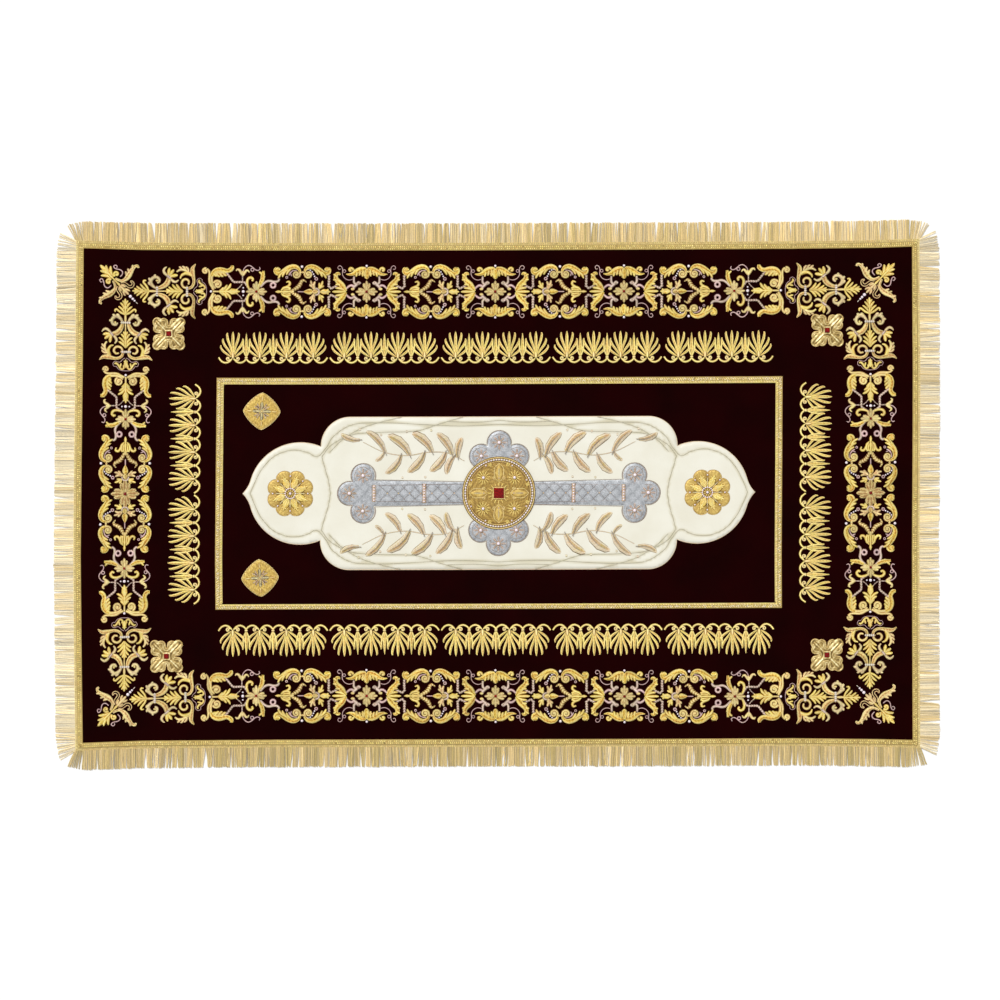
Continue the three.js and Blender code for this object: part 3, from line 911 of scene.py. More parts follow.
for side, edge in EDGES.items():
    # pale marks the sides with the paler painted sheen: their head loops turn cream and their braid's inner
    # cord khaki
    pale = FRINGE_PAINTED_PALENESS[side] > 0
    base = strip("edge_braid_base_" + side, edge, BRAID_SECTION, braid_material)
    laid = []
    for inner in (1.8, 8.2):
        laid += shaded(plait(edge, inner, 5.0, "khaki", 3.0, PLAIT_PITCH, 2.0, 1.1), 0.3, BRAID_TINTS, 1.08)
    laid += cord_along(edge, 0.9, "khaki" if pale else "pale gold", 1.7, 1.0)
    laid += cord_along(edge, BRAID_WIDTH - 0.5, "khaki", 1.3, 1.0)
    plaited = worked("edge_braid_plait_" + side, laid, metal_work, Plain_Points=4)
    sewn_on(joined_pieces("edge_braid_woven_" + side, [base, plaited]), "gold_braid", "edge_braid_" + side)

    roots = wire_object("strands_" + side, *fringe_roots(side, *edge))
    strands = grown(roots, strand_tree, Material=fringe_material)
    head = strip("fringe_head_base_" + side, edge, HEAD_SECTION, fringe_material)
    loops = plait(edge, BRAID_WIDTH + 0.4, BRAID_WIDTH + 4.9, "pale gold", 2.5, 3.2, 0.5, -0.4)
    loops += cord_along(edge, BRAID_WIDTH + 4.2, "cream gold", 1.8, -0.25)
    # the head loops take the side's painted sheen too
    loops = shaded(loops, 0.12, ("cream gold",) if pale else ("pale gold", "khaki"), FRINGE_PAINTED_SHEEN[side])
    looped = worked("fringe_head_loops_" + side, loops, metal_work, Plain_Points=4)
    sewn_on(joined_pieces("fringe_strands_" + side, [strands, head, looped]), "gold_fringe", "fringe_" + side)

# %% [markdown]
# The border is worked in scrolls, leaves, petals, straps and rings, as church gold work has been
# for centuries. Each of these is a short function that gives stitches round its own origin, in
# millimetres. The motifs below are put together from them, and only half or a quarter of a motif
# is drawn, because the rest is its mirror image.

# %% Leaves, petals, volutes and rings
# a leaf lobe's share of the way and of the width
LEAF = ((0.0, 0.5), (0.3, 0.86), (0.62, 1.0), (0.88, 0.74), (1.0, 0.24))


def on_circle(centre, radius, angle):
    """Points of a circle or a spiral, its angles in radians."""
    return np.column_stack([centre[0] + radius * np.cos(angle), centre[1] + radius * np.sin(angle)])


def bowed(base, tip, bend, marks):
    """Rows from base to tip, by share of the way and width. bend moves the middle aside."""
    base, tip = np.array(base, float), np.array(tip, float)
    run = tip - base
    aside = np.array([-run[1], run[0]]) * bend
    return [[*(base + run * share + aside * 4 * share * (1 - share)), size] for share, size in marks]


def feather(tint, base, tip, width, bend=0.0, lift=0.5):
    """A leaf lobe."""
    rows = bowed(base, tip, bend, [(share, width * part) for share, part in LEAF])
    return [stitch(tint, rows, lift)]


def volute(tint, centre, radius, turns, start, hand, width, lift=0.0):
    """A spiral that starts on its circle at an angle in degrees and winds to a full eye."""
    count = int(11 * turns) + 2
    share = np.linspace(0, 1, count)
    angle = math.radians(start) + hand * share * turns * 2 * math.pi
    reach = radius * (1 - 0.72 * share ** 0.9) - 0.1 * width
    rows = np.column_stack([on_circle(centre, reach, angle), width * (1.18 - 0.1 * share)])
    return [stitch(tint, rows, lift)] + boss(tint, centre, 0.34 * radius, lift + 0.3)


def ring(tint, centre, radius, width, lift=0.3):
    count = 11 if radius > 3 else 9
    circle = on_circle(centre, radius, np.linspace(0, 2 * math.pi, count))
    rows = np.column_stack([circle, np.full(count, width)])
    return [stitch(tint, rows, lift)]


def boss(tint, centre, radius, lift=0.2):
    """A small round knob of thread."""
    rows = [[centre[0] + radius * along, centre[1], 2 * radius * wide]
            for along, wide in ((-0.95, 0.35), (-0.5, 0.85), (0, 1), (0.5, 0.85), (0.95, 0.35))]
    return [stitch(tint, rows, lift)]


def strap(tint, rows, lift=0.1):
    """A flat strap with corners and a beaded face."""
    return [stitch(tint, rows, lift, -1)]


def petal(tint, base, tip, width, lift=0.4):
    """A petal of three round lobes, of which the middle one is the longest."""
    base, tip = np.array(base, float), np.array(tip, float)
    run = tip - base
    aside = np.array([-run[1], run[0]]) / np.hypot(*run)
    made = []
    for hand in (-1, 1):
        end = base + run * 0.8 + aside * hand * width * 0.36
        made += feather(tint, base + run * 0.02, end, width * 0.58, -0.3 * hand, lift)
    return made + feather(tint, base, tip, width * 0.46, 0, lift + 0.4)


def lobes(tint, pairs, width, bend=-0.1, lift=0.5):
    """Leaf lobes from their bases to their tips. They overlap like the lobes of one leaf."""
    made = []
    for step, (base, tip) in enumerate(pairs):
        made += feather(tint, base, tip, width, bend, lift + 0.15 * step)
    return made


def twin(tint, rows):
    """The two edges of a smooth strip, with the ground left open between them."""
    line = 1.9
    path = smooth_rows(rows)
    run = np.gradient(path[:, :2], axis=0)
    aside = np.column_stack([-run[:, 1], run[:, 0]]) / np.hypot(*run.T)[:, None]
    reach = np.maximum(path[:, 2:] - line, 0) / 2
    made = []
    for hand in (-1, 1):
        edge = path[:, :2] + hand * aside * reach
        made.append(stitch(tint, np.column_stack([edge, np.full(len(edge), line)]), 0.4))
    return made


def tied(centre, reach, width):
    """A clasp across a scroll: a short upright row of silver beads over a bar."""
    x, y = centre
    made = strap("khaki", [[x, y - reach, width], [x, y + reach, width]], 1.2)
    for place in np.arange(-reach + 1.6, reach, 3.6):
        made += boss("bright silver", (x, y + place), 2.3, 1.9)
    return made


def pearl(centre, size, tint="pearl", lift=0.0):
    return [stitch(tint, [[*centre, size]], lift)]


def placed(points, to=(0, 0), turn=0.0):
    """Points turned by degrees and then moved."""
    angle = math.radians(turn)
    spin = np.array([[math.cos(angle), math.sin(angle)], [-math.sin(angle), math.cos(angle)]])
    return points @ spin + np.array(to)


def moved(stitches, to=(0, 0), turn=0.0, flip_x=False, flip_y=False, stretch=(1, 1)):
    """Copies of stitches, stretched, flipped, turned by degrees and then moved."""
    size = np.array([(-1 if flip_x else 1) * stretch[0], (-1 if flip_y else 1) * stretch[1]])
    made = []
    for one in stitches:
        path = one["path"].copy()
        path[:, :2] = placed(path[:, :2] * size, to, turn)
        made.append({**one, "path": path})
    return made


def spun(stitches, count, start=0.0):
    """Copies of stitches, turned evenly round the origin."""
    made = []
    for step in range(count):
        made += moved(stitches, turn=360 / count * step + start)
    return made


def both_ways(stitches):
    """The stitches and their mirror image across the X axis."""
    return stitches + moved(stitches, flip_y=True)


def four_ways(stitches):
    half = both_ways(stitches)
    return half + moved(half, flip_x=True)


print("a petal has", len(petal("gold", (0, 0), (20, 0), 14)), "lobes")

# %% [markdown]
# The cartouche is the border's main motif. Two pairs of acanthus scrolls face each other and
# frame a tulip, two horn-shaped leaves and an open flower on one stem. It is drawn with the
# tulip's tip towards -X.

# %% The cartouche
def acanthus_scroll():
    """One scroll, from its volute near the middle out along the border to a rounded end."""
    made = flow("gold", [
        [4.4, 33.8, 4], [5.2, 39, 6], [9.2, 43.6, 8.2], [16, 45.2, 10], [24, 42.6, 11.6], [31, 38, 11.8],
        [37.4, 33.8, 10.2], [43.4, 32.4, 8.4], [48, 34.8, 7.6], [49, 39.8, 6.4], [46.6, 43, 4.6]], 0.0, True)
    made += boss("gold", (44.4, 40), 5.0, 0.7)
    made += volute("khaki", (10.9, 31.4), 7.9, 1.5, 150, 1, 4.0, 0.1)
    return made + lobes("gold", [
        ((19.5, 41.5), (28.5, 30.2)), ((26, 40), (35.8, 26.4)), ((32, 36.5), (43, 23.6))], 5.8, 0.12, 1.7)


def tulip():
    made = feather("gold", (-21, 0), (-38.4, 0), 5.6, 0, 1.1)
    made += flow("gold", [[-37, 0, 4], [-40, 0, 4.6], [-43.6, 0, 6.2], [-48.4, 0, 1.2]], 0.6)
    side = flow("gold", [[-21, 5.4, 4.6], [-27, 8, 5.4], [-33.6, 6.6, 5.2], [-38.2, 2.4, 2.6]], 0.3)
    side += flow("gold", [[-21, 2.6, 3.4], [-27.4, 4.2, 3.6], [-35, 2.8, 2.2]], 0.8)
    side += flow("gold", [
        [-29, 8.8, 4.4], [-24.6, 10.6, 5.4], [-22.2, 14.4, 5.8], [-24.2, 18.4, 5], [-29, 17, 2.6]], 0.3)
    return made + both_ways(side)


def horn_leaves():
    side = flow("horn", [
        [-19, 2, 5], [-12.6, 5, 8], [-6.2, 9.6, 9.2], [-2.8, 15.4, 8.2], [-0.2, 20.4, 6.2],
        [4, 19.8, 4], [7.4, 17.2, 1.6]], 0.4, -1)
    return both_ways(side) + boss("khaki", (-18.6, 0), 3.8, 0.9)


def open_flower(whole):
    """The flower at the end of the stem. Beside a big rosette its last petal is left out."""
    made = flow("lilac", [[-8, 0, 2.4], [-2, 0, 2.4], [5, 0, 2.4]], 0.1)
    made += flow("gold", [[2.6, 0, 1.6], [7, 0, 7.6], [12.4, 0, 12], [16, 0, 10.8], [18.4, 0, 6]], 0.4, True)
    made += boss("khaki", (23, 0), 5.4, 1.3)
    shift = 0.0 if whole else -3.0
    side = feather("pink gold", (21.4, 3.6), (18.2, 14.6), 9.0, 0, 0.2)
    side += lobes("pink gold", [
        ((20, 8), (13, 13.2)), ((19.4, 9), (15.6, 20.4)), ((20.8, 9), (23.2, 18.6))], 5.4, 0.08, 0.5)
    side += feather("gold", (29.4 + shift / 2, 4.0), (34.8 + shift, 13.4), 8.0, 0, 0.2)
    side += lobes("gold", [
        ((30.6 + shift, 7.0), (38.8 + shift, 11.0)), ((31.6 + shift, 8.0), (36.6 + shift, 19.6)),
        ((30.4 + shift, 7.0), (30.2 + shift, 16.0))], 5.4, -0.08, 0.5)
    side += flow("silver", [[23.4, 6, 3.6], [27, 5.4, 4.2], [29.6, 3, 4.6], [30.2, 0, 4.6]], 1.2)
    made += both_ways(side)
    if whole:
        made += petal("gold", (32, 0), (50.6, 0), 14.0, 0.6)
    return made


def scroll_trims():
    """What lies under the scrolls: an arc with pearls on one side, a forked curl on the other."""
    side = flow("silver", [[4.6, 36.2, 1.8], [8.8, 39.6, 2.2], [12.6, 39.8, 1.8]], 0.4)
    for place in ((14.4, 38.6), (17.8, 35.6), (20, 31.6), (22, 27.6)):
        side += pearl(place, 3.0)
    side += ring("lilac", (25, 23.2), 2.4, 2.6, 0.4)
    side += flow("lilac", [[-9.4, 38.8, 1.8], [-16.6, 37.8, 2.4], [-21.6, 34.2, 4], [-24.2, 29.4, 2.4]], 0.4)
    side += ring("lilac", (-28, 26), 1.8, 1.9, 0.4) + feather("lilac", (-21, 33), (-19.4, 27.8), 2.4)
    side += strap("pale gold", [[-5.6, 35, 4.2], [5.6, 35, 4.2]], 0.3) + pearl((-0.6, 45), 5.0)
    return both_ways(side)


def cartouche(whole=True):
    made = four_ways(acanthus_scroll()) + scroll_trims()
    return made + tulip() + horn_leaves() + open_flower(whole)


CARTOUCHE = cartouche()
print("a cartouche has", len(CARTOUCHE), "stitches")

# %% [markdown]
# Between cartouches sit small crosses of four petals with a red stone. Silver brackets and lilac
# tendrils link them to gold palmettes above and below, and to winged palmettes at both sides.

# %% The rosette and its surroundings
def four_petals(reach, width, tints=("petal tan", "petal tan")):
    """Four petals of three lobes round a stone, in one tint along the border and one across it. Where the
    tint across it is lighter, that is a painted sheen on the petals that catch the light.
    """
    made = []
    for quarter in range(4):
        leaf, tint = [], tints[quarter % 2]
        for hand in (-1, 1):
            aside = width * hand
            leaf += feather(tint, (0.12 * reach, 0.06 * aside), (0.78 * reach, 0.3 * aside),
                            0.5 * width, 0.08 * hand, 0.4)
            leaf += feather("cream gold", (0.3 * reach, 0.12 * aside), (0.74 * reach, 0.42 * aside),
                            0.1 * width, 0.12 * hand, 1.8)
        leaf += feather(tint, (0.08 * reach, 0), (reach, 0), 0.52 * width, 0, 0.8)
        made += moved(leaf, turn=90 * quarter)
    return made


def rosette_brackets():
    corner = flow("silver", [
        [22.6, 27.6, 4.6], [23, 21.6, 5], [22.6, 16.6, 5.6], [19, 13.2, 6.4], [15.4, 14.4, 5.4]], 0.2)
    corner += flow("lilac", [
        [37.6, 4.2, 3.6], [33.6, 8.4, 4.8], [29.2, 11.2, 5.4], [25, 10.8, 5.8], [22.4, 8.6, 5.6],
        [23.2, 5.6, 4.6]], 0.3)
    corner += flow("silver", [[25.4, 5.4, 4.6], [22.6, 8.6, 6.2], [19, 11.8, 6.8], [15.6, 14.6, 6]], 0.5)
    return four_ways(corner + boss("silver", (14.4, 15.6), 4.2, 1.0) + boss("khaki", (25, 4.9), 3.4, 0.8))


def crown_palmette():
    """The gold palmette on the outer side of a rosette."""
    side = flow("gold", [
        [1.2, 40.6, 6], [5, 41, 9], [10.4, 40, 11.2], [16.2, 37.2, 11.6], [21.2, 34, 10.2], [26, 31.8, 6.8],
        [31, 31, 4.8], [37, 31.8, 1.4]], 0.3, True)
    side += lobes("gold", [
        ((18.6, 36.4), (19.6, 27)), ((12.4, 38.6), (14, 29)), ((6.6, 39.8), (9, 30.6))], 5.4, -0.14, 1.6)
    side += volute("gold", (28.8, 39.2), 5.4, 0.9, 190, -1, 4.4, 0.6)
    side += feather("gold", (0.6, 38), (7.6, 27.4), 6.6, 0.1, 1.2)
    made = side + moved(side, flip_x=True)
    return made + feather("gold", (0, 41.6), (0, 22.6), 12.6, 0, 1.5) + pearl((0, 46.4), 4.4)


def lilac_tendril():
    made = flow("lilac", [
        [22, 24.6, 1.5], [27, 21.8, 1.6], [33.4, 21.2, 1.7], [39.6, 24.4, 1.7], [43.4, 30.4, 1.7],
        [43.6, 36, 1.6], [43.4, 40.6, 1.6], [45.4, 45.4, 1.6], [49.4, 46.8, 1.6], [52, 43.8, 1.6],
        [50.2, 40.2, 1.6], [47.2, 41, 1.5]], 0.2)
    return made + ring("lilac", (40.2, 37.2), 2.6, 1.5, 0.4)


def winged_palmette():
    """Two gold wings and a leaf of three lobes, spreading towards -X from an apex at the origin."""
    wing = flow("gold", [
        [0.6, 1, 4.4], [-3, 6.1, 9.4], [-6.8, 11.4, 11.8], [-11, 16, 11.2], [-15.6, 20.5, 10],
        [-17.9, 25.1, 9], [-17.5, 29.4, 8], [-15.2, 32.6, 6.8], [-12.2, 32.6, 5.2],
        [-10.8, 30.2, 3]], 0.7, True)
    wing += lobes("gold", [
        ((-9, 11.6), (-18.6, 12.6)), ((-15, 19), (-22.8, 21.6)), ((-17, 27), (-22.4, 31))], 5.8, -0.14, 1.5)
    wing += lobes("gold", [((-1, 1.6), (-18.8, 6.6))], 6.0, -0.1, 1.5)
    return both_ways(wing) + feather("gold", (0.6, 0), (-24.4, 0), 6.6, 0, 1.8)


def rosette():
    made = four_petals(19.8, 15) + rosette_brackets() + pearl((0, 0), 5.0, "ruby")
    made += both_ways(crown_palmette())
    made += four_ways(lilac_tendril())
    wings = moved(winged_palmette(), to=(-37.4, 0))
    return made + wings + moved(wings, flip_x=True)


def link_strap():
    """The angled silver strap from a scroll's end to a winged palmette, towards +X."""
    return both_ways(strap("silver", [
        [48, 30, 5.4], [48, 15, 5.6], [47.2, 10.4, 5.6], [51.8, 5.8, 5.6], [59.6, 9.6, 5], [63.4, 9.8, 4.2]]))


ROSETTE = rosette()
print("a rosette has", len(ROSETTE), "stitches")

# %% [markdown]
# Each run of border ends in a lyre with a small rosette, a little palmette and a tall pyramid of
# scrolls whose tip points to the corner. These are drawn from the pyramid's tip inwards.

# %% The pyramid
def leaf_ground(rows):
    """The low olive ground between the ribs of a palmette."""
    return flow("olive gold", rows, -1.6, -1)


def pyramid():
    """From its tip at the origin towards +X."""
    side = flow("gold", [
        [31.8, 1, 3.6], [28.6, 8, 4.8], [24.6, 13.2, 4.8], [22.4, 16.6, 4.8], [24, 19.2, 4.4],
        [27.4, 18.6, 2.6]], 0.5)
    side += lobes("gold", [
        ((30, 1), (17, 12.9)), ((23, 0.8), (10.2, 9.1)), ((15.4, 0.4), (6.2, 5.1))], 5.4, 0.08, 0.6)
    side += flow("ivory", [
        [46, 5, 4.6], [41.8, 7.4, 6], [37.2, 11.4, 7.6], [35.2, 17, 7.8], [38.6, 23, 7.6], [45, 25.2, 7],
        [50.4, 22.4, 6.4], [51, 17.2, 5.6], [47, 14.8, 4.2]], 0.3)
    side += boss("khaki", (46.8, 19), 2.6, 0.8)
    side += lobes("ivory", [
        ((37, 11), (31.4, 16.8)), ((37.4, 18), (32.2, 24.2)), ((43, 23), (44.2, 30))], 6.4, 0.14, 0.4)
    side += flow("pale gold", [
        [48.2, 5.2, 6], [54.6, 7.2, 8.4], [61.2, 10.8, 10.2], [66.2, 17, 10.6], [67.6, 24.4, 7.6]], 0.2, True)
    side += lily()
    side += flow("pale gold", [
        [99.6, 5.6, 4.6], [93.8, 7.8, 5.2], [91, 14, 5.4], [93.6, 20.2, 5.4], [99.6, 21.6, 5.2],
        [103.8, 17.4, 4.8], [102.6, 12.4, 3.4]], 0.3)
    side += flow("pale gold", [
        [101.6, 5, 5.4], [108.2, 7.2, 5.8], [112, 13.4, 5.8], [112.6, 20.6, 6], [111.2, 27.8, 8],
        [110, 35.2, 9.6], [110.6, 42.2, 7.4], [115.6, 49, 1.8]], 0.2, True)
    side += flow("gold", [
        [88.2, 22.4, 2.6], [90.2, 28, 5.4], [96.2, 31.8, 6.6], [103.2, 31.6, 7.6], [109, 28.6, 6]], 0.3)
    side += flow("cream gold", [
        [81.8, 34.8, 3.4], [87.6, 38.6, 5.6], [94.8, 38.6, 6.6], [101.2, 35.2, 6.4], [107, 31, 4.4]], 0.1)
    side += lobes("pink gold", [
        ((91.6, 37.8), (85.6, 43.8)), ((97.8, 36.8), (91.4, 45)), ((103, 34), (97.8, 44.2))], 5.4, -0.16, 0.6)
    side += lobes("gold", [
        ((92.8, 0.6), (81.6, 13)), ((88, 0.6), (74, 12.8)), ((81, 0.4), (67.6, 8.4)),
        ((74, 0.2), (63.4, 4.2))], 5.6, 0.1, 0.5)
    made = both_ways(side) + feather("gold", (18, 0), (2.4, 0), 5.6, 0, 1.2)
    made += feather("gold", (32, 0), (11, 0), 4.4, 0, 1.3)
    made += flow("pale gold", [[30, 0, 3.6], [38, 0, 5.4], [46, 0, 4.4], [54, 0, 2.8], [64, 0, 3.8]], 0.2)
    made += feather("gold", (93.4, 0), (59, 0), 4.8, 0, 1.4)
    made += leaf_ground([[28, 0, 7], [23, 0, 15], [16, 0, 13], [9, 0, 8]])
    made += leaf_ground([[92, 0, 7], [86, 0, 15], [78, 0, 14], [70, 0, 9], [64, 0, 4]])
    return made + tied((46.8, 0), 9.4, 4.0) + tied((100.6, 0), 9.8, 4.0)


def lily():
    """The leaves that open from a bead joint at the pyramid's side."""
    made = flow("ivory", [
        [66.4, 27.2, 5], [60.8, 31.8, 6.2], [58.4, 37, 6.2], [61, 41.6, 4.6], [64, 43.6, 2]], 0.5)
    made += lobes("gold", [
        ((67.6, 27), (69, 42)), ((69.4, 27), (77, 38.8)), ((70, 26), (83.8, 28.8))], 7.4, 0.04, 0.7)
    made += flow("ivory", [[69.6, 24.4, 4.8], [74.4, 18.8, 6], [80.2, 16.8, 5.4], [85.4, 20.2, 2.8]], 0.5)
    for place in ((65.8, 27.2), (67.8, 25.4), (69.8, 23.6)):
        made += boss("silver", place, 2.4, 1.8)
    return made


def small_palmette():
    """The little palmette behind the pyramid, with a thin lilac line round it."""
    made = petal("gold", (130, 0), (114.2, 0), 10.0, 0.5)
    side = flow("gold", [
        [125.4, 4.6, 3], [130, 3.6, 4.2], [132.6, 7, 4.4], [129.6, 11, 4.4], [124.8, 13.8, 4.6],
        [121.4, 17.8, 4.4], [122.8, 20.8, 2.8]], 0.4)
    side += feather("gold", (129.4, 10.4), (121.4, 8.4), 4.2, 0, 0.6)
    side += flow("lilac", [
        [112, 1, 1.1], [114, 5.4, 1.15], [118.8, 9.6, 1.15], [119.4, 14, 1.15], [117.8, 19.6, 1.15],
        [122.4, 23.8, 1.15], [127.4, 21.4, 1.15], [127.2, 17.4, 1.15], [131.8, 14.2, 1.15], [134.8, 8, 1.15],
        [135.4, 0, 1.1]], 0.1)
    return made + both_ways(side)


PYRAMID = pyramid() + small_palmette() + pearl((143.4, 0), 4.6)
print("a pyramid has", len(PYRAMID), "stitches")

# %% The lyre and its rosette
def lyre():
    """From its rosette at the origin, with the corner towards +X."""
    # the lighter straw across the border is a painted sheen
    made = four_petals(18.8, 14.4, ("petal tan", "straw")) + pearl((0, 0), 4.8, "ruby")
    side = flow("gold", [
        [12.4, 3.4, 4.2], [15.6, 10.4, 5.4], [16.6, 17.6, 5.8], [14.6, 23.4, 6], [10, 25.4, 6.2],
        [6.2, 22.4, 5.6], [8, 18.8, 4.4]], 0.3)
    side += flow("gold", [
        [-4, 8, 3.6], [-7.6, 15.6, 7.6], [-10.8, 22.6, 8.8], [-11.4, 29.6, 8.2],
        [-12.6, 37.4, 4.6]], 0.2, True)
    side += feather("gold", (-10.8, 28), (-4.6, 35.8), 5.0, 0.1)
    side += feather("gold", (-10, 20), (-15.6, 27.4), 4.6, -0.1)
    side += strap("silver", [
        [12.8, 3, 3.8], [17.6, 11.4, 4.4], [20.6, 16.2, 4.8], [24, 17.2, 5], [38.6, 16.8, 5], [41.8, 18.2, 5],
        [54.4, 34.4, 4.8]])
    side += strap("silver", [[24.9, 16, 2.6], [24.9, 31, 2.6]])
    side += strap("silver", [[25.4, 14, 2], [29, 9, 2], [34.8, 4, 1.8]])
    side += flow("cream gold", [
        [24.6, 29.4, 5.4], [27.8, 34.2, 6.2], [30.4, 38.6, 5.8], [34.4, 39.8, 4.4], [36.4, 37, 2.4]], 0.5)
    side += flow("cream gold", [
        [24.2, 29.6, 5.4], [20.8, 34.2, 5.8], [18, 38, 5], [14.8, 37.4, 3.8], [12.8, 34.4, 2]], 0.4)
    side += feather("cream gold", (24.5, 28), (24.2, 37.2), 6.0)
    side += flow("lilac", [
        [24.2, 33, 2.2], [22.6, 40.6, 2.3], [17.2, 46.2, 2.4], [11.6, 46.8, 2.4], [6, 43, 2.3],
        [1.6, 39.2, 2.3], [-3.2, 38.2, 2.3], [-6.4, 41, 2.2], [-5, 44.4, 1.8]], 0.3)
    side += ring("lilac", (7.4, 39.4), 2.8, 2.2) + pearl((23.4, 6.8), 3.0)
    side += volute("pale gold", (69.4, 12.6), 8.2, 1.4, 20, 1, 4.4, 0.2)
    side += flow("pale gold", [
        [77, 2.6, 5], [79.8, 9, 5.8], [83.2, 15, 5.6], [84.4, 22, 5.2], [84, 30, 5], [84.8, 36.4, 4.8],
        [88.6, 40.8, 4.6]], 0.1)
    side += volute("pale gold", (91.6, 36.6), 5.9, 1.2, 110, -1, 4.0, 0.2)
    side += flow("pale gold", [
        [73, 5.4, 3.6], [77, 9.4, 5], [79.2, 15, 5.8], [80, 21.6, 6], [79.8, 28, 6.2]], 0.1)
    side += flow("khaki", [[77, 31, 3.6], [70, 33.4, 6.2], [60, 33, 6.2], [52, 34, 3]], -0.1)
    side += flow("gold", [
        [80, 26.4, 6.2], [78, 33, 8.2], [73, 37.4, 9.8], [66.2, 39, 10.4], [59.4, 38.2, 10.4], [53.4, 37, 9],
        [47.8, 38.4, 9], [43.6, 42.4, 9], [43.4, 46.8, 5.6]], 0.1, True)
    side += lobes("gold", [
        ((77, 32), (70.4, 28)), ((73, 35), (65.4, 26.2)), ((67, 35), (59.2, 26.6)),
        ((60.6, 35.4), (53.2, 28.2))], 6.2, 0.1, 0.4)
    side += lobes("gold", [
        ((66.6, 0.6), (58.8, 7.6)), ((63.6, 0.8), (52.4, 12)), ((57.2, 0.8), (45.6, 14.4))], 6.2, 0.12, 0.5)
    made += both_ways(side)
    made += petal("gold", (51, 0), (29.6, 0), 14.0, 0.7) + feather("gold", (67.6, 0), (46, 0), 4.8, 0, 1.2)
    made += flow("pale gold", [[78, 0, 4.4], [72, 0, 3.8], [65, 0, 4.2]], 0.2)
    return made + pearl((23.4, 0), 5.6)


def arc_strap():
    """The arc with a ringed volute that links a cartouche's outer end to the lyre's rosette."""
    side = flow("silver", [
        [-43.4, 26, 4.6], [-41.8, 21.6, 5.4], [-46, 18.2, 5.8], [-52.6, 18.2, 5.6], [-60.2, 19.4, 5.8],
        [-67.6, 16.4, 5.6], [-75, 8.2, 4.2]], 0.1)
    side += ring("lilac", (-52.4, 11.6), 4.4, 5.0, 0.5)
    return both_ways(side)


LYRE = lyre()
print("a lyre has", len(LYRE), "stitches")

# %% [markdown]
# A sprig fills each corner: a gold palmette points into the corner, an acanthus leaf runs along
# each side, and a pinkish silver palmette and a row of four pearls point inwards. It is drawn
# with the corner towards +X and then turned by an eighth of a turn.

# %% The corner sprig
def sprig():
    side = lobes("gold", [((3, 1.4), (19.8, 12.6)), ((9, 1.2), (26.8, 7.4))], 7.2, -0.1, 0.5)
    side += volute("gold", (2.5, 9.9), 5.8, 1.1, -100, 1, 3.9, 0.8)
    side += flow("cream gold", [
        [-1.5, 3, 4.2], [-6.9, 4.6, 5], [-11.6, 7.2, 5.2], [-14.4, 11.4, 6.4], [-15.6, 17, 9.6],
        [-14.6, 24.4, 11.4], [-12.4, 31.6, 9.8], [-10.8, 38.4, 7.6], [-10.8, 43.8, 6], [-13.2, 47.4, 5.6],
        [-17, 46.4, 3.8]], 0.1, True)
    side += lobes("pink gold", [
        ((-14, 18.4), (-5, 24.6)), ((-13.4, 25), (-4.4, 31.2)),
        ((-11.4, 34.8), (-5.4, 42.2))], 6.2, 0.14, 0.5)
    side += flow("lilac", [
        [-5.5, 11.4, 2.2], [-5, 17.4, 2.4], [-1.8, 20.6, 2.4], [3.3, 20.2, 2.4], [8, 16.8, 2.4],
        [12.6, 14.8, 2.4], [15.8, 16, 2.4], [15.2, 19.6, 2.2], [11.8, 20.6, 2], [10.2, 18, 1.8]], 0.3)
    side += twin("pink gold", [
        [-15.4, 3.4, 4.6], [-18.6, 8.2, 5.8], [-24.4, 9.6, 6], [-29.4, 10.6, 6], [-32.2, 14.4, 6.2],
        [-30.6, 19.2, 5.8], [-26.6, 20.8, 4.6], [-24.2, 18.2, 3.4]])
    side += lobes("pink gold", [((-17, 1.4), (-25.8, 5.2)), ((-26, 1), (-36.2, 5.8))], 5.4, -0.1, 0.6)
    made = both_ways(side) + feather("gold", (13, 0), (33.8, 0), 8.4, 0, 0.9)
    made += feather("gold", (0, 0), (21, 0), 6.0, 0, 1.4)
    made += flow("gold", [[0, 0, 4], [-7, 0, 3.4], [-13, 0, 5.4], [-16.2, 0, 3.4]], 1.2)
    made += feather("pink gold", (-15.4, 0), (-39, 0), 7.4, 0, 0.8)
    for place, size in ((-43.4, 6), (-49.4, 4.8), (-54, 3.8)):
        made += pearl((place, 0), size)
    return made + feather("bright silver", (-57, 0), (-61.6, 0), 1.8, 0, 0.2)


SPRIG = sprig()
print("a corner sprig has", len(SPRIG), "stitches")

# %% [markdown]
# Half of a run is put together from its middle outwards and mirrored. The long and the short runs
# share the same motifs. On the short ones a big rosette takes the place of the last petals.

# %% The four runs of border
LONG = {"pitch": 231.4, "lyre": 429.6, "tip": 655.4, "stretch": 1.0}
SHORT = {"lyre": 133.4, "tip": 350.0, "stretch": 0.97}
CORNER_LENGTH = 224.5
RUNS = {
    # middle along the edge, distance out, turn in degrees, bow inwards in mm
    "far": (-4.5, 365.6, -0.08, 0.0),
    "near": (-3.2, 362.6, -0.24, 0.0),
    "left": (2.8, 671.0, 0.0, 3.0),
    "right": (0.9, 669.2, 0.2, 0.0),
}


def run_end(run, cartouche_at, whole):
    """From the last cartouche out to the pyramid, along +X from the run's middle."""
    thin = (1, run["stretch"])
    made = moved(CARTOUCHE if whole else cartouche(False), (cartouche_at, 0), flip_x=True, stretch=thin)
    made += moved(arc_strap(), (cartouche_at, 0), flip_x=True, stretch=thin)
    long_way = (run["tip"] - run["lyre"]) / CORNER_LENGTH
    made += moved(LYRE, (run["lyre"], 0), stretch=(long_way, run["stretch"]))
    return made + moved(PYRAMID, (run["tip"], 0), flip_x=True, stretch=(long_way, run["stretch"]))


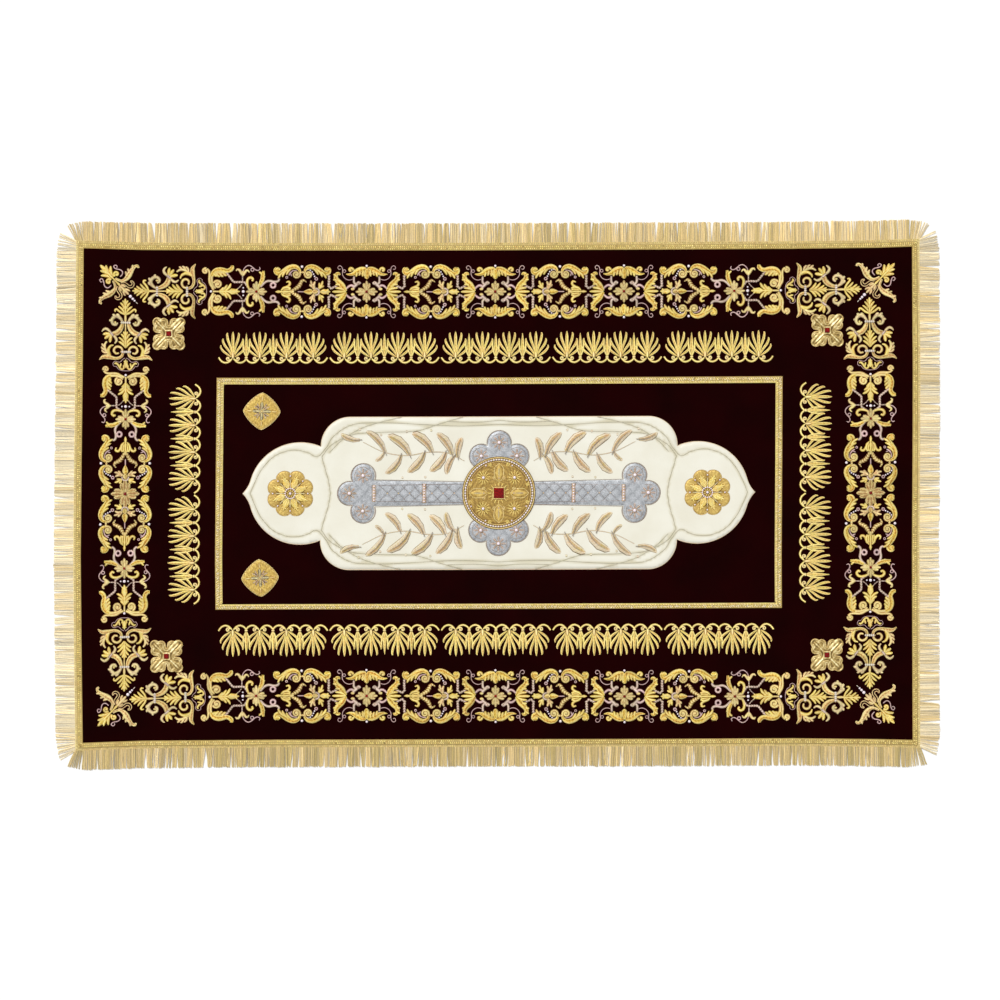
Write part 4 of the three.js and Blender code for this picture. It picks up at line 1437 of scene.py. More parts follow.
def long_run():
    pitch = LONG["pitch"]
    half = run_end(LONG, 1.5 * pitch, True)
    half += moved(CARTOUCHE, (0.5 * pitch, 0), flip_x=True)
    half += moved(ROSETTE, (pitch, 0))
    for centre, flip in ((0.5, False), (0.5, True), (1.5, True)):
        half += moved(link_strap(), (centre * pitch, 0), flip_x=flip)
    return half + moved(half, flip_x=True) + ROSETTE


def short_run():
    half = run_end(SHORT, 54.0, False)
    return half + moved(half, flip_x=True) + four_petals(25.6, 20.5) + pearl((0, 0), 6.0, "ruby")


END_SHIFTS = {
    # how far the tips at the two ends lie towards their corners and outwards, in mm
    "far": ((5.7, 1.8), (0, 0)),
    "near": ((2.5, 0.7), (4.4, 5.7)),
    "left": ((2, 0), (6.3, 0)),
    "right": ((3.2, -1.2), (3.8, -3.1)),
}


def drawn_out(side, stitches):
    """A run whose lyres and pyramids are pulled a little out of line, as sewing by eye leaves them."""
    run = LONG if side in ("far", "near") else SHORT
    made = moved(stitches)
    for one in made:
        x, y = one["path"][:, 0], one["path"][:, 1]
        share = np.clip((np.abs(x) - run["lyre"]) / (run["tip"] - run["lyre"]), 0, 1)
        along, out = END_SHIFTS[side][0 if x.mean() > 0 else 1]
        x += np.sign(x) * share * along
        y += share * out
    return made


def laid_on(side, stitches):
    """A run's stitches on one side of the cloth."""
    middle, out, turn, bow = RUNS[side]
    stitches = drawn_out(side, stitches)
    if side in ("far", "near"):
        made = moved(stitches, (middle, out if side == "far" else -out), turn, flip_y=side == "near")
    else:
        made = moved(moved(stitches, turn=90), turn=turn, flip_x=side == "right")
        made = moved(made, (-out + 1.3 if side == "left" else out + 1.3, middle))
    for one in made:
        one["path"][:, 0] += bow * (1 - (one["path"][:, 1] / SHORT["tip"]) ** 2)
    return made


border = {side: laid_on(side, long_run()) for side in ("far", "near")}
border.update({side: laid_on(side, short_run()) for side in ("left", "right")})
for side, place, turn in (("far", (-691.1, 387.1), 135), ("far", (689.9, 387), 45),
                          ("near", (688.7, -387.5), -45), ("near", (-693.8, -387.3), -135)):
    border[side] += moved(SPRIG, place, turn=turn)
print("the border has", sum(len(stitches) for stitches in border.values()), "stitches")

# %% [markdown]
# Pearls and red stones are round beads on the cloth. They are a sphere of few faces on each
# point, scaled by Geometry Nodes to the size that the point carries.

# %% Beads and the border's pieces
bead_tree, given = geometry_tree("beads", [
    ("Segments", INT, 10), ("Rings", INT, 6), ("Flatness", FLOAT, 0.8)])
ball = add_node(bead_tree, "GeometryNodeMeshUVSphere", {
    "Segments": given["Segments"], "Rings": given["Rings"], "Radius": 1}).outputs[0]
radius = named(bead_tree, "half_width")
size = add_node(bead_tree, "ShaderNodeCombineXYZ", {
    "X": radius, "Y": radius, "Z": radius * given["Flatness"]}).outputs[0]
beads = add_node(bead_tree, "GeometryNodeInstanceOnPoints", {
    "Points": given["Geometry"], "Instance": ball, "Scale": size}).outputs[0]
finish_tree(bead_tree, beads, given["Material"])

pearl_material = clouded("pearl", 700.0, dye(248, 224, 234), dye(255, 249, 252), 0.05,
                         Roughness=0.25, Coat_Weight=0.6, Coat_Roughness=0.1)
stone_material = clouded("red_stone", 400.0, dye(88, 1, 2), dye(160, 7, 6), 0.05,
                         Roughness=0.2, Coat_Weight=0.12, Coat_Roughness=0.05, Specular_IOR_Level=0.12)


def bead_piece(name, stitches, material, slot, above=0.0, **settings):
    """The beads among some stitches, as one piece."""
    rows = np.vstack([one["path"] for one in stitches])
    heights = rows[:, 2] * 0.7 + above
    wire = wire_object(name, in_place(rows[:, :2], heights), [], {"half_width": rows[:, 2] * MM})
    return sewn_on(grown(wire, bead_tree, Material=material, **settings), slot)


def of_tint(stitches, *tints):
    return [one for one in stitches if one["tint"] in tints]


def but_for(stitches, *tints):
    return [one for one in stitches if one["tint"] not in tints]


SILVERS = ("silver", "lilac", "grey", "bright silver")
BEADS = ("pearl", "ruby")
for side, stitches in border.items():
    shaded(stitches, 0.07)
    sewn_on(worked("border_gold_" + side, but_for(stitches, *SILVERS, *BEADS), metal_work), "gold_thread")
    sewn_on(worked("border_silver_" + side, of_tint(stitches, *SILVERS), silver_work), "silver_thread")

everything = [one for stitches in border.values() for one in stitches]
bead_piece("border_pearls", of_tint(everything, "pearl"), pearl_material, "pearl")
bead_piece("border_stones", of_tint(everything, "ruby"), stone_material, "red_stone", 1.4)

# %% [markdown]
# Flat pieces cut from cloth or leather-backed metal thread are sewn on the velvet. Each is filled
# from its outline with small triangles, so that a height can be given to every point: a padded
# edge, a rib or a vein. The height depends on how far the point is from the outline.

# %% Pieces cut to an outline
def edge_distance(points, outline):
    """How far each point is from a closed outline."""
    start = outline
    run = np.roll(outline, -1, axis=0) - start
    square = np.maximum((run ** 2).sum(axis=1), 1e-9)
    best = np.full(len(points), 1e9)
    for place, way, size in zip(start, run, square):
        off = points - place
        share = np.clip(off @ way / size, 0, 1)
        gap = off - share[:, None] * way
        best = np.minimum(best, (gap ** 2).sum(axis=1))
    return np.sqrt(best)


def inside(points, outline):
    """Which points an outline holds."""
    held = np.zeros(len(points), bool)
    for (ax, ay), (bx, by) in zip(outline, np.roll(outline, -1, axis=0)):
        if ay == by:
            continue
        crosses = (ay > points[:, 1]) != (by > points[:, 1])
        held ^= crosses & (points[:, 0] < (bx - ax) * (points[:, 1] - ay) / (by - ay) + ax)
    return held


def triangulated(points, rim):
    """Points joined by triangles. The first points are the outline, and rim is their number."""
    loop = [(step, (step + 1) % rim) for step in range(rim)]
    corners, _, faces, *_ = delaunay_2d_cdt([Vector(point) for point in points], loop, [], 1, 1e-7)
    return np.array([[*corner] for corner in corners]), [tuple(face) for face in faces]


def filled(outline, spacing):
    """The outline's points with a staggered grid of points inside it, and the triangles."""
    low, high = outline.min(axis=0), outline.max(axis=0)
    x = np.arange(low[0] + 0.3 * spacing, high[0], spacing)
    y = np.arange(low[1] + 0.4 * spacing, high[1], 0.87 * spacing)
    grid = np.array([[a + 0.5 * spacing * (row % 2), b] for row, b in enumerate(y) for a in x])
    grid = grid[inside(grid, outline)]
    grid = grid[edge_distance(grid, outline) > 0.45 * spacing]
    points = np.vstack([outline, grid])
    return triangulated(points, len(outline))


def cut_piece(name, outline, spacing, height, material, under, to, turn=0.0):
    """A closed piece. height gives the top above the velvet and a relief value for each point."""
    top, faces = filled(outline, spacing)
    rim = len(outline)
    above, relief = height(top, edge_distance(top, outline))
    base_faces = triangulated(outline, rim)[1]
    upper = in_place(placed(top, to, turn), above)
    lower = in_place(placed(top[:rim], to, turn), np.full(rim, under))
    count = len(top)
    faces = faces + [tuple(count + corner for corner in reversed(face)) for face in base_faces]
    for step in range(rim):
        after = (step + 1) % rim
        faces.append((count + step, count + after, after, step))
    relief = np.concatenate([relief, np.zeros(rim)])
    return solid(name, np.vstack([upper, lower]), faces, material, relief=relief)


def padded(name, slot, replaced, ground, height, stitches, thread, base=0.0, **settings):
    """A ground cut to an outline and worked with stitches, as one piece. ground is its outline,
    the size of its triangles in mm, its material, its underside, its place and its turn."""
    outline, spacing, material, under, to, turn = ground
    cut = cut_piece(name + "_ground", outline, spacing, height, material, under, to, turn)
    lines = worked(name + "_lines", stitches, thread, base, **settings)
    return sewn_on(joined_pieces(name, [cut, lines]), slot, replaced)


def around(distance, count):
    """An outline from a distance that depends on the direction."""
    angle = np.arange(count) / count * 2 * math.pi
    reach = np.array([distance(turn) for turn in angle])
    return on_circle((0, 0), reach, angle)


def cord_round(outline, tint, width, lift, ridged=False):
    """A cord along a closed outline."""
    rows = np.column_stack([outline, np.full(len(outline), width)])
    return [stitch(tint, np.vstack([rows, rows[:1]]), lift, ridged)]


def arc(centre, radius, start, end, count):
    """Points of an arc, its angles in degrees."""
    return on_circle(centre, radius, np.radians(np.linspace(start, end, count)))


square = np.array([[0, 0], [10, 0], [10, 10], [0, 10]], float)
print("a square of 10 mm fills with", len(filled(square, 2.0)[1]), "triangles")

# %% [markdown]
# Gold brocade and gold leaf on padding share one finish. Its olive hollows are a painted shade and its pale
# crests a painted highlight, with a fine crossing grain. The relief value stored on the mesh says which is
# which.

# %% The relief finish
relief_tree, given, result = group("relief_gold", [
    ("Hollow", COLOUR, dye(120, 92, 40)), ("Flat", COLOUR, dye(190, 160, 88)),
    ("Crest", COLOUR, dye(244, 228, 160)), ("Grain Scale", FLOAT, 900.0), ("Grain Share", FLOAT, 0.35),
], [("Color", COLOUR), ("Height", FLOAT)])
place = object_place(relief_tree)
grain = noise(relief_tree, place, given["Grain Scale"], 2.0, 0.6)
patch = noise(relief_tree, place, 90.0, 3.0, 0.6)
value = attribute(relief_tree, "relief") + (patch - 0.5) * 0.5 + (grain - 0.5) * given["Grain Share"]
# painted shade in the hollows, rising to painted highlight on the crests
tone = mix(relief_tree, between(value, 0.0, 0.5), given["Hollow"], given["Flat"])
fill(result["Color"], mix(relief_tree, between(value, 0.5, 1.0), tone, given["Crest"]))
fill(result["Height"], grain)


def relief_material(name, painted_shade, flat, crest, grain_scale, grain_share, depth, **sockets):
    inputs = {"Hollow": painted_shade, "Flat": flat, "Crest": crest,
              "Grain Scale": grain_scale, "Grain Share": grain_share}
    return grouped_material(name, relief_tree, inputs, depth, **sockets)


leaf_gold = relief_material("padded_gold_leaf", dye(104, 80, 28), dye(186, 156, 88), dye(255, 242, 186),
                            1100.0, 0.5, 0.15, Metallic=0.35, Roughness=0.36)
brocade = relief_material("gold_brocade", dye(122, 84, 26), dye(204, 170, 78), dye(250, 226, 140),
                          1000.0, 0.9, 0.3, Metallic=0.3, Roughness=0.45)
halo_gold = relief_material("gold_relief_ground", dye(116, 86, 30), dye(176, 142, 66), dye(226, 196, 110),
                            800.0, 0.9, 0.35, Metallic=0.35, Roughness=0.4)
silver_cloth = relief_material("silver_cloth", dye(96, 98, 104), dye(164, 167, 170), dye(214, 216, 220),
                               650.0, 1.5, 0.3, Metallic=0.3, Roughness=0.42)
print("the relief finish is used by 4 materials")

# %% [markdown]
# The frame round the centre is a flat braid. Its outer part is thickly sewn with tiny silver
# beads, uneven as hand work is, and its inner third is a smooth bright plait.

# %% Frame braid
FRAME_SIDES = [
    # quarter turns, half the inner length, distance from the middle, width
    (0, 495.7, 196.6, 11.3),
    (-1, 196.6, 495.8, 11.9),
    (2, 498.5, 199.4, 9),
    (1, 196.6, 495.5, 12.2),
]
BRIGHT_PART = 0.36
BEAD_PITCH = 2.9
frame_tints = ("bright gold", "gold", "pale gold", "straw")

braid_parts, frame_work, bead_rows = [], [], []
for number, (turns, half, reach, width) in enumerate(FRAME_SIDES):
    bright = BRIGHT_PART * width
    edge = (turns, half, reach)
    frame_base = [(0, 0), (0, 1.1), (bright, 1.5), (width, 1.3), (width, 0.0)]
    braid_parts.append(strip(f"frame_base_{number}", edge, frame_base, braid_material, FRAME_MIDDLE))
    inner = plait(edge, 0.9, bright, "bright gold", 3.2, 2.9, 1.6, 1.2)
    laid = shaded(inner, 0.1, ("bright gold", "straw"), 1.3)
    outer = plait(edge, bright + 0.4, width - 1, "khaki", 2.6, 3.2, 3.2, 1.1)
    laid += shaded(outer, 0.26, frame_tints, 1.3)
    laid += cord_along(edge, 0.4, "bright gold", 1.6, 1.0)
    laid += cord_along(edge, bright + 0.2, "gold", 1.0, 1.2)
    laid += cord_along(edge, width - 0.4, "orange gold", 1.7, 0.9)
    frame_work += moved(laid, FRAME_MIDDLE)
    for share in (0.52, 0.76):
        places = np.arange(-half - share * width, half + share * width, BEAD_PITCH)
        places = places[random.uniform(0, 1, len(places)) < 0.66]
        places = places + random.normal(0, 0.7, len(places))
        out = reach + share * width + random.normal(0, 0.7, len(places))
        flat = on_edge(turns, places, out) + FRAME_MIDDLE
        bead_rows.append(np.column_stack([flat, random.uniform(0.7, 1.3, len(places))]))
braid_parts.append(worked("frame_plait", frame_work, metal_work, base=0.0, Plain_Points=4))
frame_braid = joined_pieces("frame_braid_woven", braid_parts)
sewn_on(frame_braid, "gold_braid", *["frame_braid_" + side for side in EDGES])

bead_material = clouded("silver_bead", 900.0, dye(246, 226, 190), dye(255, 250, 232), 0.08, 0.6,
                        Roughness=0.3, Coat_Weight=0.4)
bead_piece("frame_beads", [{"path": np.vstack(bead_rows)}], bead_material, "silver_thread", 1.3,
           Segments=6, Rings=3)

# %% [markdown]
# A quatrefoil is pressed in relief over padding. A rope runs round its edge, a second ridge follows it, and
# each of the four petals has a strong midrib and two side veins that run out from the stone. The heights are
# worked out from those lines, and so is the relief value that paints its ridges lighter and its hollows
# darker. The petals on two diagonals are raised a little more and painted lighter, a painted sheen.

# %% Quatrefoils and their stones
QUATREFOIL_HALF = 29.5
QUATREFOIL_LOBES = [(0.72, 0.72), (0.33, 0.68), (0.68, 0.33)]
LOBE_RADIUS = 0.28
PLACES = {
    "far_left": (-591, 290), "far_right": (592, 293),
    "near_left": (-593, -289), "near_right": (592, -290),
}
FRAME_STONE_HALF = 4.0


def quatrefoil_reach(angle):
    folded = angle % (math.pi / 2)
    reaches = [0.5 * QUATREFOIL_HALF]
    for x, y in QUATREFOIL_LOBES:
        x, y, radius = x * QUATREFOIL_HALF, y * QUATREFOIL_HALF, LOBE_RADIUS * QUATREFOIL_HALF
        along = x * math.cos(folded) + y * math.sin(folded)
        aside = y * math.cos(folded) - x * math.sin(folded)
        if radius > abs(aside):
            reaches.append(along + math.sqrt(radius ** 2 - aside ** 2))
    return max(reaches)


def ridge(distance, middle, half):
    """A round ridge of height 1 about a distance."""
    return np.clip(1 - ((distance - middle) / half) ** 2, 0, 1)


def quatrefoil_height(points, distance):
    x, y = np.abs(points[:, 0]), np.abs(points[:, 1])
    along, aside = (x + y) / math.sqrt(2), np.abs(x - y) / math.sqrt(2)
    rim = ridge(distance, 1.4, 1.5)
    second = ridge(distance, 4.4, 1.2) * (along < 30)
    rib = ridge(aside, 0, 1.9) * np.clip((33 - along) / 6, 0, 1)
    vein = ridge(np.abs(aside - 0.42 * np.maximum(along - 12, 0)), 0, 1.1) * (along > 14) * (along < 31)
    side = ridge(np.abs(aside - 0.16 * np.maximum(along - 16, 0) - 3.4), 0, 1.0) * (along > 12) * (along < 27)
    # lit: the two diagonals whose petals get a painted sheen, and a little more height
    lit = np.sign(points[:, 0] * points[:, 1])
    broad = (0.42 + 0.22 * lit) * ridge(aside, 5.6, 3.0) * (along > 11) * (along < 34)
    ridges = [0.62 * rim, 0.72 * second, (0.9 + 0.08 * lit) * rib, broad, 0.55 * vein, 0.5 * side]
    raised = np.maximum.reduce(ridges)
    bowl = np.clip(distance / 9, 0, 1)
    setting = 0.74 * ridge(np.maximum(x, y), FRAME_STONE_HALF + 1.6, 1.6)
    raised = np.where(np.maximum(x, y) < FRAME_STONE_HALF + 3.2, setting, raised)
    edge = np.clip(distance / 0.9, 0, 1) ** 0.5
    uneven = 0.16 * np.sin(0.37 * points[:, 0] + 1.3) * np.sin(0.31 * points[:, 1] + 0.4)
    uneven = uneven + 0.1 * np.sin(0.9 * points[:, 0] - 0.7 * points[:, 1])
    return 0.5 + 1.3 * edge + 1.6 * raised + 0.5 * bowl, 0.1 + 0.94 * raised + uneven


QUATREFOIL = around(quatrefoil_reach, 128)
for name, place in PLACES.items():
    rope = moved(cord_round(QUATREFOIL * 0.975, "orange gold", 1.9, 0.0), place)
    padded("quatrefoil_relief_" + name, "gold_brocade", "quatrefoil_" + name,
           (QUATREFOIL, 1.15, leaf_gold, -0.1, place, 0), quatrefoil_height, rope, metal_work, 1.5)


def paint_packed(node, material):
    """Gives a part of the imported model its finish, and leaves its mesh alone."""
    for socket in bpy.data.objects[node].material_slots:
        socket.material = material


for name in PLACES:
    paint_packed("corner_stone_" + name, stone_material)
paint_packed("centre_stone", stone_material)

# %% [markdown]
# Two lozenges of gold brocade lie at one end of the centre. A pale pinkish rope covers their cut
# edge. Each holds a small silver quatrefoil, which is a traditional filling for such a place.

# %% Lozenges
LOZENGE_HALF = 33.5
LOZENGE_FULLNESS = 1.33
LOZENGES = {"far": ((-423, 151), -2), "near": ((-424, -149), 3)}


def lozenge_reach(angle):
    total = abs(math.cos(angle)) ** LOZENGE_FULLNESS + abs(math.sin(angle)) ** LOZENGE_FULLNESS
    return LOZENGE_HALF * total ** (-1 / LOZENGE_FULLNESS)


def brocade_height(points, distance):
    bent_x = points[:, 0] + 1.6 * np.sin(points[:, 1] * 0.42)
    bent_y = points[:, 1] + 1.6 * np.sin(points[:, 0] * 0.37)
    weave = 0.5 + 0.5 * np.sin(bent_x * 0.95) * np.sin(bent_y * 1.05)
    padding = np.clip(distance / 5, 0, 1) ** 0.6
    # the second value paints the weave's raised lumps lighter and its dips darker, a painted highlight and
    # shade
    return 0.6 + 0.9 * padding + 0.6 * weave, 0.14 + 0.62 * weave


def lozenge_work():
    rope = around(lozenge_reach, 56)
    made = cord_round(rope * 0.985, "cream gold", 2.0, 0.2, -1)
    made += cord_round(rope * 0.925, "deep gold", 1.4, 0.8)
    leaf = feather("grey", (2.4, 0), (16.4, 0), 7.4, 0, 1.0)
    leaf += feather("silver", (3.4, 0), (15.4, 0), 4.4, 0, 1.6)
    for hand in (-1, 1):
        leaf += feather("grey", (4.4, 2.0 * hand), (14.0, 8.6 * hand), 4.0, 0.1 * hand, 1.0)
        leaf += feather("lilac", (5.0, 2.6 * hand), (13.2, 8.0 * hand), 2.4, 0.1 * hand, 1.6)
    leaf += feather("deep gold", (18, 0), (27, 0), 5.6, 0, 1.0)
    leaf += feather("cream gold", (18.6, 0), (25.8, 0), 2.4, 0, 1.6)
    return made + spun(leaf, 4) + ring("silver", (0, 0), 3.2, 2.0, 1.4) + boss("pale gold", (0, 0), 2.0, 1.6)


for name, (place, turn) in LOZENGES.items():
    outline = around(lozenge_reach, 56)
    rope = moved(shaded(lozenge_work(), 0.06), place, turn)
    padded("lozenge_brocade_" + name, "gold_brocade", "lozenge_" + name,
           (outline, 2.2, brocade, -0.1, place, turn), brocade_height, rope, metal_work, 0.5)

# %% [markdown]
# The centre is one long piece of cream satin with a lobe at each end, sewn flat through a soft padding. It is
# a closed thin sheet whose edge dips to the velvet. Grey-olive lines are couched on it along its outline, and
# they pull it down a little, which gives it soft folds. The satin is painted darker in the dips beside the
# lines, a painted shade in the folds.

# %% Centre satin
SATIN_HALF = (460, 138)
SATIN_BODY = 320.0
SATIN_CORNER = 52.0
LOBE_REACH = 92.0
LOBE_MIDDLE = 357.0
POINT_LENGTH = 11.0
SHOULDER = 0.3
SATIN_TOP = 1.7
FOLD_REACH = 14.0


def satin_outline():
    """The far right quarter from the point to the middle of the far side, then its mirror images."""
    tip = np.array([SATIN_HALF[0], 0.0])
    control = tip + (-POINT_LENGTH, POINT_LENGTH)
    end = np.array([LOBE_MIDDLE + LOBE_REACH * math.cos(SHOULDER), LOBE_REACH * math.sin(SHOULDER)])
    share = np.linspace(0, 1, 6)[:-1, None]
    point = (1 - share) ** 2 * tip + 2 * share * (1 - share) * control + share ** 2 * end
    meets = math.degrees(math.acos((SATIN_BODY - LOBE_MIDDLE) / LOBE_REACH))
    lobe = arc((LOBE_MIDDLE, 0), LOBE_REACH, math.degrees(SHOULDER), meets, 26)
    corner_at = (SATIN_BODY - SATIN_CORNER, SATIN_HALF[1] - SATIN_CORNER)
    corner = arc(corner_at, SATIN_CORNER, 0, 90, 16)
    side = np.column_stack([np.linspace(corner_at[0], 0, 28)[1:], np.full(27, SATIN_HALF[1])])
    quarter = np.vstack([point, lobe, corner, side])
    left = quarter[-2::-1] * (-1, 1)
    far = np.vstack([quarter, left])
    return np.vstack([far, far[-2:0:-1] * (1, -1)])


SATIN = satin_outline()


def fold_lines():
    """The couched lines of one quarter: long waves that follow the outline and sweep inwards."""
    return [
        [(0, 124), (70, 121), (140, 124), (205, 127), (262, 124), (296, 104), (309, 84)],
        [(66, 137), (104, 126), (150, 112), (210, 110), (262, 106), (300, 88), (318, 66)],
        [(176, 137), (214, 128), (250, 116), (282, 96), (304, 74)],
        [(309, 84), (326, 66), (344, 74), (372, 78), (402, 68), (424, 46), (437, 22), (446, 0)],
        [(318, 66), (312, 44), (306, 24), (302, 0)], [(0, 131), (40, 128), (92, 129)], ]


FOLDS = []
for line_points in fold_lines():
    rows = smooth_rows([(x, y, 1.0) for x, y in line_points], 6.0)[:, :2]
    for flip_x in (1, -1):
        for flip_y in (1, -1):
            FOLDS.append(rows * (flip_x, flip_y))


def line_distance(points, lines):
    """How far each point is from the nearest of some open lines, up to the reach of a fold."""
    best = np.full(len(points), FOLD_REACH)
    for line in lines:
        for start, end in zip(line, line[1:]):
            near = np.abs(points - (start + end) / 2).max(axis=1) < FOLD_REACH + 8
            run = end - start
            off = points[near] - start
            share = np.clip(off @ run / (run @ run), 0, 1)
            best[near] = np.minimum(best[near], np.hypot(*(off - share[:, None] * run).T))
    return best


def satin_height(points, distance):
    edge = np.clip(distance / 4, 0, 1) ** 0.5
    dip = np.exp(-(line_distance(points, FOLDS) / 3.2) ** 2)
    swell = 0.12 * np.sin(points[:, 0] / 31 + 1.2 * np.sin(points[:, 1] / 43)) * np.sin(points[:, 1] / 27)
    # the second value is lowest in the dips, where the colour gets its painted shade
    return 0.5 + (SATIN_TOP - 0.5) * edge + 0.25 * edge * (1 + swell) - 0.4 * dip, 1 - dip


def satin_finish(tree, shader):
    place = object_place(tree)
    stretched = add_node(tree, "ShaderNodeVectorMath", {
        0: place, 1: (1, 9, 1)}, operation="MULTIPLY").outputs[0]
    weave = noise(tree, stretched, 420.0, 2.0, 0.6)
    cloud = noise(tree, place, 14.0, 3.0, 0.5)
    tone = mix(tree, between(cloud, 0.3, 0.7), dye(238, 234, 216), dye(248, 246, 232))
    # painted shade: darker where the satin dips beside a couched line
    tone = mix(tree, between(attribute(tree, "relief"), 0.75, 0.0), tone, dye(214, 206, 176))
    fill(shader.inputs["Roughness"], weave * 0.2 + 0.34)
    dress(shader, mix(tree, weave * 0.16, tone, dye(200, 190, 160)), weave, 0.12)


satin_material = surface("cream_satin", satin_finish, Sheen_Weight=0.25, Sheen_Roughness=0.3,
                         Sheen_Tint=dye(255, 250, 232))
satin = cut_piece("centre_satin_sheet", SATIN, 5.6, satin_height, satin_material, -0.1, FRAME_MIDDLE)
sewn_on(satin, "cream_satin", "centre_satin")

# %% [markdown]
# Silver cloth makes the cross: four arms that each end in three round buds, an old form of
# church cross. It is padded, outlined with a dark cord, and quilted with a trellis of dark lines.

# %% Cross
CROSS_HALF = (290, 113)
ARM_HALF = 20.0
BUD = 22.0
BUD_BACK = 1.1 * BUD
BUD_ASIDE = 1.45 * BUD
CROSS_FOOT, CROSS_TOP = 1.6, 3.1
TRELLIS = 20.0


def arm_outline(length):
    """One arm along +X, from its near inner corner round its three buds to its far one."""
    tip = length - BUD
    side = tip - BUD_BACK
    meet = math.degrees(math.acos(math.hypot(BUD_BACK, BUD_ASIDE) / 2 / BUD))
    slope = math.degrees(math.atan2(BUD_ASIDE, BUD_BACK))
    near = arc((side, -BUD_ASIDE), BUD, -200, slope - meet, 22)
    last = arc((tip, 0), BUD, slope + meet - 180, 180 - slope - meet, 18)
    far = arc((side, BUD_ASIDE), BUD, meet - slope, 200, 22)
    return np.vstack([[(ARM_HALF, -ARM_HALF)], near, last, far])


CROSS = np.vstack([placed(arm_outline(CROSS_HALF[step % 2]), turn=90 * step) for step in range(4)])
CROSS = CROSS[np.hypot(*(CROSS - np.roll(CROSS, 1, axis=0)).T) > 0.05]


def cross_height(points, distance):
    padding = np.clip(distance / 9, 0, 1) ** 0.6
    first = np.abs(np.sin((points[:, 0] + points[:, 1]) * math.pi / TRELLIS))
    second = np.abs(np.sin((points[:, 0] - points[:, 1]) * math.pi / TRELLIS))
    quilt = np.minimum(first, second) ** 0.5
    # the second value paints the quilting lighter on its puffs and darker along its lines, a painted
    # highlight and shade
    return CROSS_FOOT + (CROSS_TOP - CROSS_FOOT) * padding + 0.3 * quilt * padding, 0.35 + 0.3 * quilt


def trellis(half_length, start, arm):
    """Dark crossing lines along one arm, and a small knot where they cross."""
    made = []
    for place in np.arange(start, half_length, TRELLIS):
        for lean in (-1, 1):
            rows = [[place, -lean * arm, 0.7], [place + arm, 0, 0.7], [place + 2 * arm, lean * arm, 0.7]]
            made += [stitch("dark line", rows, CROSS_TOP + 0.15)]
        made += boss("cream gold", (place + arm, 0), 1.3, CROSS_TOP + 0.3)
    return made


def pearl_hem(base, tip, count):
    """A tan band between two points with a row of pearls along it."""
    width, lift = 7.6, CROSS_TOP
    base, tip = np.array(base, float), np.array(tip, float)
    aside = np.array([-(tip - base)[1], (tip - base)[0]]) / np.hypot(*(tip - base)) * width / 2
    made = [stitch("tan", [[*base, width], [*((base + tip) / 2), width], [*tip, width]], lift - 0.5)]
    for hand in (-1, 1):
        made += [stitch("brown", [[*(base + hand * aside), 0.9], [*(tip + hand * aside), 0.9]], lift + 0.2)]
    for share in (np.arange(count) + 0.5) / count:
        made += pearl(base + (tip - base) * share, 3.5, lift=lift + 1.0)
    return made


def bud_work(centre):
    """Petals and a pearl in one bud."""
    leaf = feather("silver", (4.2, 0), (13.4, 0), 5.2, 0, CROSS_TOP - 0.2)
    leaf += [stitch("dark line", [[5.4, 0, 0.5], [11.6, 0, 0.5]], CROSS_TOP + 0.9)]
    made = ring("grey", (0, 0), 15.5, 1.2, CROSS_TOP - 0.1) + spun(leaf, 8)
    made += ring("tan", (0, 0), 4.2, 1.6, CROSS_TOP + 0.4) + pearl((0, 0), 6.4, lift=CROSS_TOP + 0.8)
    return moved(made, centre)


def cross_work():
    made = cord_round(CROSS, "dark line", 1.5, CROSS_FOOT + 0.2)
    made += cord_round(CROSS * 0.996, "grey", 1.6, CROSS_FOOT + 0.7)
    for quarter, length in enumerate(CROSS_HALF * 2):
        side = length - BUD - BUD_BACK
        arm = [*bud_work((length - BUD, 0)), *bud_work((side, BUD_ASIDE)), *bud_work((side, -BUD_ASIDE))]
        if length > 200:
            arm += trellis(side - 46, 66, 14.0)
            arm += pearl_hem((side - 20, -15), (side - 20, 15), 6)
            arm += pearl_hem((side - 110, -17), (side - 110, 17), 7)
            for hand in (-1, 1):
                rows = [[62, 16.6 * hand, 1], [side - 26, 14.4 * hand, 1]]
                arm += [stitch("dark line", rows, CROSS_TOP + 0.1)]
        made += moved(arm, turn=90 * quarter)
    return made


CROSS_WORK = moved(cross_work(), FRAME_MIDDLE)
padded("cross_silver", "silver_cloth", "centre_cross", (CROSS, 2.9, silver_cloth, 1.4, FRAME_MIDDLE, 0),
       cross_height, but_for(CROSS_WORK, "pearl"), silver_work, Plain_Points=4)

# %% [markdown]
# The medallion over the crossing is worked in gold relief, with florets of radial loops, plain
# pointed shields between them, and a rim of pearls. A collar holds its square red stone.

# %% Medallion and rosettes
MEDALLION_RADIUS = 66.0
MEDALLION_FOOT, MEDALLION_TOP = 3.2, 5.1
CENTRE_STONE_HALF = 9.0
ROSETTE_RADIUS = 43.0
ROSETTE_REACH = 374.0
PETAL_DEPTH = 0.16


def medallion_height(points, distance):
    far = np.hypot(*points.T)
    turn = np.arctan2(points[:, 1], points[:, 0])
    shield = np.clip(1.2 - np.abs(np.sin(2 * turn)) * far / 13 - np.abs(far - 36) / 17, 0, 0.35) / 0.35
    curls = 0.5 + 0.5 * np.sin(far * 1.15 + 2.2 * np.sin(turn * 9)) * np.sin(turn * 24 + far * 0.35)
    ground_relief = np.where(far < 54, 0.8 * curls, 0)
    relief = np.maximum(ground_relief, shield)
    # the second value paints the raised shields and curls lighter and the ground between darker, a painted
    # highlight and shade
    return MEDALLION_FOOT + 1.4 * np.clip(distance / 2, 0, 1) ** 0.5 + 0.6 * relief, 0.06 + 0.74 * relief


